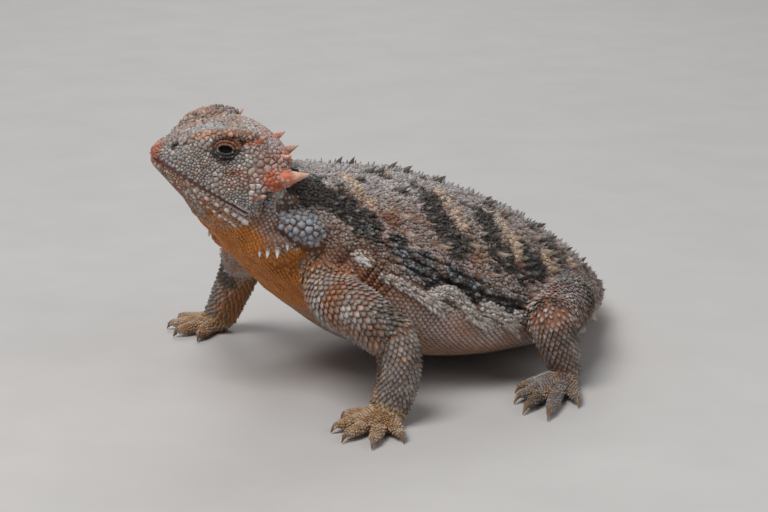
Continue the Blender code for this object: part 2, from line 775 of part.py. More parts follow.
def toe(palm, tip, radius):
    """A toe that arches from the palm to the floor and ends in a claw."""
    palm, tip = Vector(palm), Vector((tip[0], tip[1], 0.25))
    reach = tip - palm
    path = []
    for f, lift, r in ((0, 0, 1.0), (0.3, 0.35, 0.95), (0.6, 0.25, 0.85), (0.78, 0.3, 0.7),
                       (0.9, 0.35, 0.42), (1.0, 0.05, 0.14)):
        point = palm + reach * f
        point.z = palm.z * (1 - f) + 0.62 * radius * f + lift * radius
        if f == 1.0:
            point.z = 0.2
        path.append((*point, r * radius, r * radius * 0.9))
    return skin_rings(bmesh.new(), tube_rings(path, TOE_SIDES, Vector((0, 0, 1))))


def limb_part(rows, steps, swell=0.0):
    """A length of limb with a round joint at its far end, as two closed pieces."""
    rows = swollen(rows, swell)
    x, y, z, wide, deep = rows[-1]
    return limb_tube(rows, 0, len(rows) - 1, steps), ellipsoid(Vector((x, y, z)), (wide, wide, deep), cuts=7)


def build_limb(model, names, path, tips, colours):
    """Upper limb, lower limb and foot along one path, each cut clear of the one above."""
    upper, lower, foot = names
    trunk = loft(BODY, NECK_END - 0.6, TRUNK_END, 26, BODY_SIDES, GAP)
    base, joint = limb_part(path[:KNEE + 1], 9)
    model.node(upper, colours[0], base, [joint], [(trunk,)])
    base, joint = limb_part(path[KNEE:ANKLE + 1], 7)
    above = [(piece,) for piece in limb_part(path[:KNEE + 1], 9, GAP)]
    model.node(lower, colours[1], base, [joint], above)
    palm = Vector(path[-1][:3])
    palm.z = 1.25
    pieces = [toe(palm, tip, 1.05) for tip in tips]
    spread = sum((Vector((x, y, palm.z)) for x, y in tips), Vector()) / len(tips)
    pieces.append(ellipsoid(palm.lerp(spread, 0.2), (2.5, 2.7, 1.5), cuts=6))
    above = [(piece,) for piece in limb_part(path[KNEE:ANKLE + 1], 7, GAP)]
    base = limb_tube(path[ANKLE:], 0, len(path) - 1 - ANKLE, 3)
    model.node(foot, colours[2], base, pieces, [(floor_box(),), *above])


def build_limbs(model):
    """The four legs."""
    fore = (SAND, ASH, ORANGE)
    hind = (ASH, RUST, GREY_TAN)
    for side, path, tips in (("left", FORE_LEFT, FORE_TOES_LEFT),
                             ("right", FORE_RIGHT, FORE_TOES_RIGHT)):
        names = (f"upper_arm_{side}", f"forearm_{side}", f"hand_{side}")
        build_limb(model, names, path, tips, fore)
    for side, path, tips in (("left", HIND_LEFT, HIND_TOES_LEFT),
                             ("right", HIND_RIGHT, HIND_TOES_RIGHT)):
        names = (f"thigh_{side}", f"shank_{side}", f"foot_{side}")
        build_limb(model, names, path, tips, hind)


def main():
    """Build every node of the animal."""
    for made in list(bpy.data.objects):
        bpy.data.objects.remove(made, do_unlink=True)
    model = Model("horned_lizard")
    build_head(model)
    build_body(model)
    build_limbs(model)


main()
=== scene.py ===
"""Greater short-horned lizard at life size: the finished surface over the solid parts.

Shapes are worked out in millimetres in the same frame as the solid parts' tables,
with the animal facing -Y, its left side at +X and the floor at Z = 0, and are
turned into metres when a mesh is made.
"""
import math

import bmesh
import bpy
import numpy as np
from bpy.props import FloatProperty, FloatVectorProperty, IntProperty, PointerProperty
from mathutils import Matrix, Vector
from mathutils.bvhtree import BVHTree
from mathutils.kdtree import KDTree


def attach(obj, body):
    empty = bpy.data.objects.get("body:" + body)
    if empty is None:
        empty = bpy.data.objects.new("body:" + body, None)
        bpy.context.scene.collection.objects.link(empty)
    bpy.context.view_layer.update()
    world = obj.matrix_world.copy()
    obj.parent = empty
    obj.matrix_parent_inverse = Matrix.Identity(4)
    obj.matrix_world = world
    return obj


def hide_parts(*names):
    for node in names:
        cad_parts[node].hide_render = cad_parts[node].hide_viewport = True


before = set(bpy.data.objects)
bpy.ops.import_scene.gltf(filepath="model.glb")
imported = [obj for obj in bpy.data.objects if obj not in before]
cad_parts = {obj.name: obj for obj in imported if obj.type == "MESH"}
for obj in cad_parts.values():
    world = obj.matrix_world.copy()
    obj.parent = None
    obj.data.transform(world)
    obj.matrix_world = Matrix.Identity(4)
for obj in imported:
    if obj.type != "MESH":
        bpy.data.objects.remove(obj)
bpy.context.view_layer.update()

bl_info = {
    "name": "Short-horned lizard",
    "version": (1, 0, 0),
    "blender": (4, 5, 0),
    "location": "3D View > Sidebar > Lizard",
    "description": "Skin, scales, horns and eyes of a life-size short-horned lizard",
    "category": "Object",
}

MILLIMETRE = 0.001
CENTRE = np.array((-1.094, 23.511, 0.0))
TRUNK_HALF = 20.0
HEAD_HALF = 10.6
SNOUT = np.array((-6.5, -16.1, 32.6))
HEAD_YAW, HEAD_PITCH, HEAD_ROLL = 22.0, 6.0, 1.5


def body_stations():
    """Stations from the neck's root in the head to the tip of the tail.

    Each has x, y, z, heading, pitch, half width, top, bottom, and squareness above and below.
    """
    w = TRUNK_HALF
    return np.array([
        (-2.2, -7.6, 30.0, -8, 50, 0.36 * w, 5.6, 6.6, 2.2, 2.2),
        (-0.8, -2.9, 25.6, -4, 47, 0.47 * w, 7.2, 7.6, 2.2, 2.2),
        (0.0, 3.4, 21.0, 0, 34, 0.67 * w, 9.8, 9.2, 2.2, 2.1),
        (0.0, 8.2, 17.0, 0, 27, 0.85 * w, 12.6, 9.2, 2.2, 2.1),
        (0.0, 15.0, 13.0, 0, 24, 0.96 * w, 15.0, 9.7, 2.2, 2.2),
        (0.0, 24.0, 9.6, 0, 22, w, 14.6, 8.3, 2.2, 2.1),
        (0.0, 33.5, 7.2, 0, 20, 0.87 * w, 12.4, 6.4, 2.2, 2.0),
        (-0.4, 41.5, 5.6, 5, 17, 0.66 * w, 9.2, 5.3, 2.2, 2.1),
        (-1.6, 47.0, 4.7, 15, 12, 0.47 * w, 6.8, 4.85, 2.1, 2.3),
        (-3.8, 51.0, 4.0, 32, 8, 0.36 * w, 5.0, 4.2, 2.1, 2.4),
        (-7.4, 54.6, 3.4, 50, 5, 0.29 * w, 4.0, 3.55, 2.1, 2.4),
        (-12.2, 57.6, 2.8, 64, 4, 0.23 * w, 3.2, 2.95, 2.1, 2.4),
        (-18.0, 59.4, 2.2, 77, 4, 0.175 * w, 2.5, 2.35, 2.1, 2.3),
        (-24.0, 60.0, 1.65, 88, 3, 0.12 * w, 1.8, 1.8, 2.0, 2.2),
        (-29.6, 59.4, 1.15, 98, 2, 0.075 * w, 1.15, 1.25, 2.0, 2.2),
        (-34.0, 58.2, 0.75, 104, 1, 0.035 * w, 0.6, 0.75, 2.0, 2.0),
    ])


def head_stations():
    """Stations of the head and jaw together, from the snout back."""
    w = HEAD_HALF
    return np.array([
        (0, 0.0, -0.2, 0, 0, 0.13 * w, 0.9, 0.9, 2.4, 2.2),
        (0, 0.7, -0.2, 0, 0, 0.25 * w, 1.7, 1.6, 2.7, 2.2),
        (0, 2.0, -0.4, 0, 0, 0.38 * w, 2.7, 2.6, 3.0, 2.2),
        (0, 4.2, -0.7, 0, 0, 0.56 * w, 4.2, 4.4, 3.6, 2.2),
        (0, 6.6, -1.0, 0, 2, 0.73 * w, 5.4, 6.2, 4.4, 2.2),
        (0, 9.2, -1.2, 0, 5, 0.88 * w, 6.1, 7.6, 4.4, 2.2),
        (0, 11.6, -1.2, 0, 10, 0.96 * w, 6.2, 8.2, 3.8, 2.1),
        (0, 13.6, -1.1, 0, 16, w, 5.3, 7.8, 3.2, 2.1),
        (0, 15.1, -0.9, 0, 20, 0.94 * w, 4.1, 6.8, 3.0, 2.2),
        (0, 16.2, -0.7, 0, 22, 0.80 * w, 3.0, 5.2, 2.8, 2.2),
    ])


# Limb paths: x, y, z and the two radii. The knee is row 3 and the ankle row 6.
FORE_LEFT = (
    (6.0, 2.5, 18.0, 3.6, 3.6), (12.0, -0.3, 15.3, 3.4, 3.4), (16.8, 0.5, 13.8, 3.2, 3.3),
    (21.3, 2.4, 11.4, 2.8, 2.9), (22.4, 2.7, 8.2, 2.7, 2.6), (22.3, 2.3, 5.2, 2.6, 2.5),
    (22.2, 1.4, 2.7, 2.3, 2.3), (22.3, 0.6, 1.5, 2.4, 1.8))
FORE_RIGHT = (
    (-6.0, 3.0, 18.0, 3.6, 3.6), (-12.0, 2.6, 16.4, 3.4, 3.4), (-16.8, 4.6, 14.8, 3.2, 3.3),
    (-21.4, 7.0, 12.4, 2.8, 2.9), (-23.6, 7.4, 9.2, 2.7, 2.6), (-25.6, 7.1, 5.8, 2.5, 2.4),
    (-27.2, 6.7, 2.9, 2.3, 2.2), (-28.0, 6.2, 1.5, 2.4, 1.8))
HIND_LEFT = (
    (7.0, 43.0, 7.5, 4.2, 4.2), (13.2, 38.4, 8.4, 4.1, 4.3), (18.2, 32.8, 9.4, 3.6, 3.8),
    (22.6, 27.8, 9.9, 2.9, 3.0), (23.2, 28.2, 7.2, 2.6, 2.7), (23.1, 29.2, 4.8, 2.3, 2.4),
    (23.0, 30.2, 2.6, 1.9, 2.0), (22.9, 30.2, 1.4, 1.9, 1.8))
HIND_RIGHT = (
    (-7.0, 43.5, 7.5, 4.2, 4.2), (-13.8, 41.0, 8.6, 4.1, 4.3), (-19.2, 37.6, 9.4, 3.6, 3.8),
    (-23.6, 34.4, 9.8, 2.9, 3.0), (-24.1, 35.2, 7.2, 2.6, 2.7), (-24.0, 36.4, 4.8, 2.3, 2.4),
    (-23.9, 37.6, 2.6, 1.9, 2.0), (-23.9, 37.6, 1.4, 1.9, 1.8))
FORE_TOES_LEFT = ((17.6, -3.2), (20.9, -7.0), (25.0, -8.2), (29.2, -6.6), (29.6, -2.0))
FORE_TOES_RIGHT = ((-24.2, 0.6), (-28.4, -0.9), (-32.8, 0.6), (-35.6, 4.0), (-33.4, 9.0))
HIND_TOES_LEFT = ((22.0, 22.2), (25.4, 19.2), (29.6, 17.2), (33.4, 18.2), (31.6, 25.0))
HIND_TOES_RIGHT = ((-23.4, 29.8), (-26.6, 26.8), (-31.0, 25.4), (-34.8, 27.0), (-33.2, 33.0))

# Head features of the left side in the head's frame: left, back, up
MOUTH = np.array(((-2.0, 0.0), (0.0, -0.1), (3.2, -1.4), (6.7, -3.0), (9.6, -4.2), (11.4, -5.1)))
EYE_AT = np.array((6.9, 8.6, 2.85))
EYE_RADIUS = 1.65
GAZE = np.array((0.90, -0.36, 0.10))
NOSTRIL = np.array((2.9, 2.4, 2.0))
EAR_BACK, EAR_UP = 13.6, -3.4
OCCIPITAL = ((3.6, 14.2, 1.7), (4.4, 18.3, 3.3), 1.35)
TEMPORAL = ((8.4, 12.6, -0.4), (12.2, 18.4, 1.2), 2.0)
SMALL_HORNS = (
    ((7.4, 13.4, 1.9), (8.8, 16.6, 2.8), 1.1),
    ((8.9, 11.4, -2.2), (10.6, 13.4, -2.3), 0.9),
    ((7.7, 10.6, 3.7), (8.7, 13.2, 5.2), 0.9),
)
BROW = ((3.1, 3.0, 2.4, 0.50, 0.40), (5.1, 4.8, 3.8, 0.70, 0.50), (7.1, 7.3, 4.75, 0.90, 0.55),
        (8.1, 9.8, 5.1, 1.0, 0.55), (8.2, 12.3, 4.8, 0.85, 0.55))


def length(name, value, about, least=0.0003):
    """A length a user would change, in metres."""
    return FloatProperty(name=name, description=about, default=value, min=least, unit="LENGTH",
                         precision=5)


class LizardSizes(bpy.types.PropertyGroup):
    """Sizes that a user would change."""
    skin_grain: length("Skin grain", 0.000355, "Size of the small cubes the skin is rebuilt from", 0.0002)
    coat_depth: length("Coat depth", 0.00012, "How far the skin lies under the solid parts' surface", 0.0)
    back_grain: length("Back granules", 0.00046, "Spacing of the small scales of the back")
    belly_grain: length("Belly scales", 0.00066, "Spacing of the flat scales of the belly")
    throat_grain: length("Throat scales", 0.00055, "Spacing of the fine scales of throat and chest")
    limb_grain: length("Limb scales", 0.00092, "Spacing of the keeled scales of the limbs", 0.0004)
    head_plate: length("Head plates", 0.00064, "Spacing of the plates of the crown", 0.0004)
    fringe_count: IntProperty(name="Fringe scales", default=9, min=4,
                              description="Pointed scales in each wave of the side fringe")
    seed: IntProperty(name="Seed", description="Start of the irregularities", default=7)


def colour(name, value, about):
    """A colour a user would change."""
    return FloatVectorProperty(name=name, description=about, default=value, subtype="COLOR",
                               size=3, min=0.0, max=1.0)


class LizardColours(bpy.types.PropertyGroup):
    """Colours that a user would change, linear RGB."""
    grey: colour("Grey", (0.32, 0.30, 0.285), "Ground colour of the back")
    tan: colour("Tan", (0.34, 0.215, 0.15), "Warm ground colour of head and limbs")
    white: colour("White", (0.64, 0.61, 0.58), "Fringe, lip plates and scale tips")
    blotch: colour("Blotch", (0.038, 0.030, 0.023), "Dark blotches of the back")
    cream: colour("Cream", (0.56, 0.41, 0.29), "Edges behind the blotches")
    rust: colour("Rust", (0.25, 0.088, 0.038), "Reddish skin between the scales")
    orange: colour("Orange", (0.46, 0.15, 0.018), "Throat and chest")
    belly: colour("Belly", (0.32, 0.225, 0.18), "Sides of the belly")
    yellow: colour("Yellow", (0.56, 0.30, 0.09), "Toes and belly rows")
    horn: colour("Horn", (0.48, 0.125, 0.052), "Base of the horns")
    horn_tip: colour("Horn tip", (0.62, 0.34, 0.22), "Points of the horns")
    blue: colour("Blue-grey", (0.36, 0.40, 0.45), "Pale scales of the neck fold")
    floor: colour("Floor", (0.56, 0.54, 0.52), "Plain floor")


def sizes():
    """The scene's size settings."""
    return bpy.context.scene.lizard_sizes


def paint(name):
    """One of the scene's colours as an array."""
    return np.array(getattr(bpy.context.scene.lizard_colours, name)[:])


def dice(number):
    """Repeatable random numbers for one group of pieces."""
    return np.random.default_rng(sizes().seed + number)


def unit(v):
    """Directions of length one."""
    v = np.asarray(v, float)
    return v / np.maximum(np.linalg.norm(v, axis=-1, keepdims=True), 1e-12)


def smooth(low, high, value):
    """Smooth step from 0 at low to 1 at high."""
    f = np.clip((value - low) / (high - low), 0.0, 1.0)
    return f * f * (3 - 2 * f)


def rows_at(table, t):
    """Rows of a table at fractional indices, along smooth curves through the rows."""
    last = len(table) - 1
    t = np.clip(np.asarray(t, float), 0, last)
    i = np.minimum(t.astype(int), last - 1)
    f = (t - i)[:, None]
    a, b = table[np.maximum(i - 1, 0)], table[i]
    c, d = table[i + 1], table[np.minimum(i + 2, last)]
    return 0.5 * (2 * b + (c - a) * f + (2 * a - 5 * b + 4 * c - d) * f * f
                  + (-a + 3 * b - 3 * c + d) * f ** 3)


def lattice(cells, seed):
    """Repeatable value from 0 to 1 for each whole-number cell."""
    h = cells[..., 0] * 374761393 + cells[..., 1] * 668265263 + cells[..., 2] * 2147483647
    h = (h + seed * 974634777) & 0xFFFFFFFF
    h = ((h ^ (h >> 13)) * 1274126177) & 0xFFFFFFFF
    return ((h ^ (h >> 16)) & 0xFFFF) / 65535.0


def noise(points, size, seed=0):
    """Smooth noise from 0 to 1 whose lumps are about size across."""
    p = np.asarray(points, float) / size + 1000.0
    cell = np.floor(p).astype(np.int64)
    f = p - cell
    f = f * f * (3 - 2 * f)
    total = 0.0
    for corner in range(8):
        step = np.array((corner & 1, corner >> 1 & 1, corner >> 2 & 1))
        weight = np.prod(np.where(step, f, 1 - f), axis=-1)
        total = total + weight * lattice(cell + step, seed)
    return total


def mix(a, b, f):
    """Colours a turned towards b by f."""
    f = np.asarray(f, float)[..., None]
    return a * (1 - f) + b * f


class Loft:
    """A skin through stations, in the frame of its own place."""

    def __init__(self, table, turn=None, origin=None):
        self.table = np.array(table, float)
        self.turn = turn
        self.origin = origin
        self.last = len(table) - 1.0

    def at(self, t, angle, swell=0.0):
        """Points at station t and angle in degrees, 0 to the left and 90 on top."""
        t, angle = np.broadcast_arrays(np.asarray(t, float), np.asarray(angle, float))
        row = rows_at(self.table, t)
        h, p = np.radians(row[:, 3]), np.radians(row[:, 4])
        side = np.stack((np.cos(h), np.sin(h), 0 * h), 1)
        up = np.stack((-np.sin(h) * np.sin(p), np.cos(h) * np.sin(p), np.cos(p)), 1)
        c, s = np.cos(np.radians(angle)), np.sin(np.radians(angle))
        n = np.where(s >= 0, row[:, 8], row[:, 9])
        tall = np.where(s >= 0, row[:, 6], row[:, 7]) + swell
        across = (row[:, 5] + swell) * np.sign(c) * np.abs(c) ** (2 / n)
        above = tall * np.sign(s) * np.abs(s) ** (2 / n)
        point = row[:, :3] + side * across[:, None] + up * above[:, None]
        return point if self.turn is None else point @ self.turn.T + self.origin


class Tube:
    """A skin round a path of x, y, z and two radii, carried along without twist."""

    STEP = 0.02

    def __init__(self, table, hint=(0, 0, 1)):
        table = np.array(table, float)
        self.last = len(table) - 1.0
        times = np.arange(0, self.last + self.STEP, self.STEP)
        self.rows = rows_at(table, times)
        along = unit(np.gradient(self.rows[:, :3], axis=0))
        side = unit(np.cross(along[0], hint))
        sides = []
        for direction in along:
            side = unit(side - direction * side.dot(direction))
            sides.append(side)
        self.side = np.array(sides)
        self.up = np.cross(self.side, along)

    def at(self, t, angle, swell=0.0):
        """Points at path position t and angle in degrees."""
        t, angle = np.broadcast_arrays(np.asarray(t, float), np.asarray(angle, float))
        place = np.clip(t, 0, self.last) / self.STEP
        i = np.minimum(place.astype(int), len(self.rows) - 2)
        f = (place - i)[:, None]
        row = self.rows[i] * (1 - f) + self.rows[i + 1] * f
        side = self.side[i] * (1 - f) + self.side[i + 1] * f
        up = self.up[i] * (1 - f) + self.up[i + 1] * f
        a = np.radians(angle)[:, None]
        return (row[:, :3] + side * (row[:, 3:4] + swell) * np.cos(a)
                + up * (row[:, 4:5] + swell) * np.sin(a))


def head_turn():
    """Rotation from the head's frame, left, back and up, to the working frame."""
    yaw, pitch, roll = (math.radians(a) for a in (HEAD_YAW, HEAD_PITCH, HEAD_ROLL))
    ahead = np.array((-math.sin(yaw), -math.cos(yaw), 0))
    left = np.array((math.cos(yaw), -math.sin(yaw), 0))
    up = np.array((0, 0, 1.0))
    nose = ahead * math.cos(pitch) + up * math.sin(pitch)
    crown = up * math.cos(pitch) - ahead * math.sin(pitch)
    side = left * math.cos(roll) - crown * math.sin(roll)
    top = crown * math.cos(roll) + left * math.sin(roll)
    return np.stack((side, -nose, top), 1)


TURN = head_turn()
BODY = Loft(body_stations())
HEAD = Loft(head_stations(), TURN, SNOUT)
LIMBS = {
    "fore_left": (FORE_LEFT, FORE_TOES_LEFT), "fore_right": (FORE_RIGHT, FORE_TOES_RIGHT),
    "hind_left": (HIND_LEFT, HIND_TOES_LEFT), "hind_right": (HIND_RIGHT, HIND_TOES_RIGHT),
}


def posed(points):
    """Head-frame points in the working frame."""
    return np.asarray(points, float) @ TURN.T + SNOUT


def in_head(points):
    """Working-frame points in the head's frame."""
    return (np.asarray(points, float) - SNOUT) @ TURN


def mouth_level(head):
    """Height of head-frame points above the mouth line."""
    return head[:, 2] - np.interp(head[:, 1], MOUTH[:, 0], MOUTH[:, 1])


def mirrored(point, sign):
    """A point of the left side, or its twin on the right."""
    return np.array((point[0] * sign, point[1], point[2]))


def frames(surface, t, angle):
    """Outward and tailward directions."""
    step = surface.at(t + 0.02, angle) - surface.at(t - 0.02, angle)
    turn = surface.at(t, angle + 1.5) - surface.at(t, angle - 1.5)
    return unit(np.cross(step, turn)), unit(step)


# Limb surfaces by limb and length: upper, lower and foot
TUBES = {limb: (Tube(path[:4]), Tube(path[3:7]), Tube(path[6:])) for limb, (path, _) in LIMBS.items()}


def toe_path(limb, tip):
    """Path of a toe from the palm to the floor."""
    palm = np.array(LIMBS[limb][0][-1][:3])
    palm[2] = 1.25
    reach = np.array((tip[0], tip[1], 0.25)) - palm
    path = []
    for f, lift, r in ((0, 0, 1.0), (0.3, 0.35, 0.95), (0.6, 0.25, 0.85), (0.78, 0.3, 0.7),
                       (0.9, 0.35, 0.42), (1.0, 0.05, 0.14)):
        point = palm + reach * f
        point[2] = palm[2] * (1 - f) + 0.62 * 1.05 * f + lift * 1.05
        if f == 1.0:
            point[2] = 0.2
        path.append((*point, r * 1.05, r * 1.05 * 0.9))
    return path


TOES = {limb: [Tube(toe_path(limb, tip)) for tip in tips] for limb, (_, tips) in LIMBS.items()}


# Markings

# Patches of the back: station, angle, half length, half height
BLOTCHES = (
    (1.02, 34, 0.40, 21), (1.45, 31, 0.42, 17), (1.85, 24, 0.28, 10), (1.95, 14, 0.40, 9),
    (2.50, 12, 0.45, 8), (3.10, 10, 0.50, 8), (3.70, 8, 0.50, 7), (4.30, 7.5, 0.45, 5.5),
    (4.80, 6, 0.30, 4.5), (3.42, 52, 0.25, 14), (3.50, 37, 0.30, 10), (3.85, 27, 0.36, 7),
    (4.50, 48, 0.20, 10), (4.62, 31, 0.28, 9), (5.17, 30, 0.42, 12), (2.85, 76, 0.16, 6),
    (6.05, 44, 0.33, 14), (6.60, 24, 0.50, 9), (7.45, 46, 0.34, 15), (8.45, 40, 0.34, 22))
PALE_EDGES = (
    (1.70, 61, 0.09, 9), (1.76, 48, 0.09, 9), (1.95, 37, 0.10, 6), (2.35, 33, 0.10, 4),
    (3.80, 58, 0.09, 9), (3.92, 45, 0.09, 9), (4.82, 52, 0.08, 9), (4.92, 38, 0.09, 8),
    (5.60, 34, 0.09, 9), (6.45, 50, 0.09, 10), (7.85, 50, 0.09, 10), (2.45, 27, 0.07, 4),
    (3.00, 80, 0.06, 5))
GINGER_PATCH, LIGHT_PATCH = (2.4, 29, 0.22, 6), (2.9, 59, 0.4, 10)
SHOULDER_MARK = (2.05, -6, 0.16, 5)
TAIL_BANDS = (9.6, 10.7, 11.8, 12.8, 13.7)
# The dark patch behind the elbow, and the ruddy one of the cheek: back, up and half sizes
ELBOW_PATCH, CHEEK_PATCH = (0.7, 195, 0.8, 70), (9.4, 0.1, 1.3, 0.6)
# Waves of the side fringe: station and angle along each, front to back
FRINGE_WAVES = tuple(np.array(wave) for wave in (
    ((2.55, -9), (2.8, -6.5), (3.15, -6), (3.4, -6), (3.7, -6.5)),
    ((3.5, -2), (3.65, 2.5), (3.85, 3), (4.1, 0), (4.3, -5), (4.5, -6.5)),
    ((4.42, 2), (4.65, 1), (4.85, -3), (5.0, -6)), ((4.95, 1), (5.3, 2), (5.6, -2), (5.8, -6)),
    ((5.7, 0), (6.1, 2), (6.4, -1), (6.7, -5)), ((6.6, 1), (7.0, 1), (7.4, -3))))


def folded(angle):
    """Angle turned to one side: 90 on the back, 0 on the flank, -90 on the belly."""
    a = (np.asarray(angle, float) + 90) % 360 - 90
    return np.where(a > 90, 180 - a, a)


def patch_distance(patch, t, a, wobble=0.0):
    """How far outside a patch a place lies, 1 at its edge."""
    mid, height, half, half_height = patch
    return np.hypot((t - mid) / half, (a - height) / half_height) + wobble


def fringe_gap(t, a):
    """Millimetres from the middle of the nearest wave of the side fringe."""
    gap = np.full(len(t), 9.0)
    for wave in FRINGE_WAVES:
        for station, angle in rows_at(wave, np.linspace(0, len(wave) - 1, 16)):
            gap = np.minimum(gap, np.hypot((t - station) * 7.3, (a - angle) * 0.27))
    return gap


def turned(colours, low, top, share, low_part=1.0, top_part=1.0):
    """Root and top colours turned towards new ones by a share, or by parts of it."""
    return mix(colours[0], low, share * low_part), mix(colours[1], top, share * top_part)


def ground_colours(a, rough, fine, wide, grain):
    """The back's grey and tan, ruddier above the flank and bluer towards the spine."""
    low = mix(paint("rust") * 0.7, paint("tan") * 0.55, smooth(-0.1, 0.3, wide + 0.4 * rough))
    top = mix(paint("grey"), paint("tan"), smooth(-0.1, 0.4, wide + 0.6 * rough) * 0.55)
    warm = smooth(12, 24, a) * smooth(52, 36, a) * smooth(-0.1, 0.3, rough + fine)
    top = mix(top, paint("rust"), warm * 0.7)
    top = mix(top, paint("white"), smooth(0.0, 0.4, fine) * 0.40)
    cool = smooth(42, 62, a) * smooth(0.3, 0.7, grain)
    top = mix(top, (paint("blue") + paint("white")) * 0.5, cool * 0.8)
    return mix(low, paint("grey") * 0.45, smooth(70, 84, a) * 0.7), top


def marked(colours, t, a, rough, fine, grain):
    """Dark blotches and tail bands with pale edges, and one ginger and one light patch."""
    dark = np.zeros(len(t))
    for blotch in BLOTCHES:
        d = patch_distance(blotch, t, a, rough + 0.6 * fine)
        dark = np.maximum(dark, smooth(1.22, 0.82, d))
    for band in TAIL_BANDS:
        d = np.abs(t - band) / 0.3 + 0.8 * rough
        dark = np.maximum(dark, smooth(1.2, 0.8, d) * smooth(-5, 15, a) * 0.75)
    dark = dark * (1 - 0.4 * smooth(5.8, 6.4, t) * smooth(9.2, 8.6, t))
    ash = mix(paint("blotch"), paint("grey") * 0.5, smooth(0.0, 0.45, fine + 0.5 * rough) * 0.6)
    flank = smooth(20, 12, a) * smooth(1.6, 2.1, t)
    ash = mix(ash, paint("blue") * 0.9, flank * smooth(0.48, 0.75, grain) * 0.8)
    deepest = np.maximum(smooth(2.0, 1.6, t), smooth(0.6, 0.3, np.abs(t - 5.2)))
    ash = ash * (1 - 0.5 * deepest)[:, None]
    ash = mix(ash, paint("rust") * 0.8, flank * smooth(0.1, 0.3, rough) * 0.6)
    colours = turned(colours, paint("blotch") * 0.7, ash, dark, 1.0, 0.94)
    pale = np.zeros(len(t))
    for edge in PALE_EDGES:
        pale = np.maximum(pale, smooth(1.5, 0.8, patch_distance(edge, t, a, 0.9 * fine)))
    colours = turned(colours, paint("cream") * 0.6, paint("cream"), pale, 1.0, 0.85)
    ginger = smooth(1.3, 0.7, patch_distance(GINGER_PATCH, t, a, 0.6 * rough))
    low, top = turned(colours, paint("rust") * 0.5, paint("rust") * 0.8, ginger, 1.0, 0.8)
    lit = smooth(1.3, 0.7, patch_distance(LIGHT_PATCH, t, a, 0.6 * rough))
    return low, mix(top, paint("white"), lit * 0.35)


def underside(colours, t, a, rough, fine, wide):
    """Pale belly, blue-grey high on its sides, and the orange throat and chest."""
    under = smooth(2, -4, a + 3 * rough)
    warm = mix(paint("orange"), paint("rust"), smooth(-0.1, 0.3, wide))
    cool = (paint("blue") + paint("white")) * 0.6
    side = mix(paint("belly") * 1.2, cool, (0.3 + 0.4 * smooth(-0.3, 0.3, wide)) * smooth(-38, -24, a))
    belly = mix(side, paint("yellow") * 0.8, smooth(-35, -75, a) * 0.35)
    colours = turned(colours, mix(warm, paint("blue"), 0.1), belly, under)
    front = smooth(2.9, 2.1, t + 0.5 * rough) * smooth(-14, -30, a + 10 * wide + 14 * (t < 1.3))
    chest = mix(paint("orange") * 1.25, paint("yellow"), smooth(0.0, 0.4, fine) * 0.4)
    return turned(colours, paint("orange") * 0.8, chest, front)


def neck_and_shoulder(colours, t, a, rough, fine):
    """Tan and orange shoulder, blue-grey fold of the neck and the white mark over the arm."""
    shoulder = smooth(1.25, 1.55, t) * smooth(2.9, 2.5, t) * smooth(10, 2, a) * smooth(-36, -16, a)
    warm = mix(paint("tan") * 0.6, paint("white") * 0.7, smooth(0.1, 0.4, fine + rough) * 0.6)
    tops = mix(warm, paint("orange") * 0.55, smooth(-4, -22, a) * 0.9)
    colours = turned(colours, paint("rust") * 0.6, tops, shoulder, 0.9, 0.9)
    neck = smooth(1.5, 0.9, t) * smooth(14, 4, a) * smooth(-46, -22, a)
    cool = mix(paint("tan") * 0.6, paint("blue") * 1.1, 0.6 * smooth(-18, -10, a))
    tops = mix(cool, paint("white"), smooth(0.0, 0.4, fine) * 0.5)
    low, top = turned(colours, paint("rust") * 0.5, tops, neck, 0.8, 0.9)
    mark = smooth(1.2, 0.8, patch_distance(SHOULDER_MARK, t, a, 0.4 * rough))
    return low, mix(top, paint("white"), mark * 0.9)


def lumps(points, *kinds):
    """Noise round zero of several sizes and seeds."""
    return tuple(noise(points, size, seed) - 0.5 for size, seed in kinds)


def body_colours(t, angle, points):
    """Colours at the root and at the top of the scales of neck, trunk and tail, with painted shade in the
    furrow above the side fringe.
    """
    t, a = np.asarray(t, float), folded(angle)
    rough, fine, wide = lumps(points, (1.6, 1), (0.7, 2), (4.0, 3))
    grain = noise(points, 0.35, 7)
    colours = ground_colours(a, rough, fine, wide, grain)
    colours = marked(colours, t, a, rough, fine, grain)
    colours = underside(colours, t, a, rough, fine, wide)
    colours = neck_and_shoulder(colours, t, a, rough, fine)
    gap = fringe_gap(t, a)
    # Painted shade: the furrow above the side fringe is darkened nearly to the blotch colour.
    furrow_shade = smooth(0.45, 0.1, np.abs(gap - 1.3)) * smooth(-5, 0, a) * smooth(2.4, 2.9, t)
    colours = turned(colours, paint("blotch") * 0.7, paint("blotch"), furrow_shade, 1.0, 0.8)
    bright = mix(paint("white"), paint("tan"), 0.35 * grain)
    return turned(colours, paint("tan") * 0.5, bright, smooth(1.0, 0.6, gap + 0.5 * fine), 1.0, 0.9)


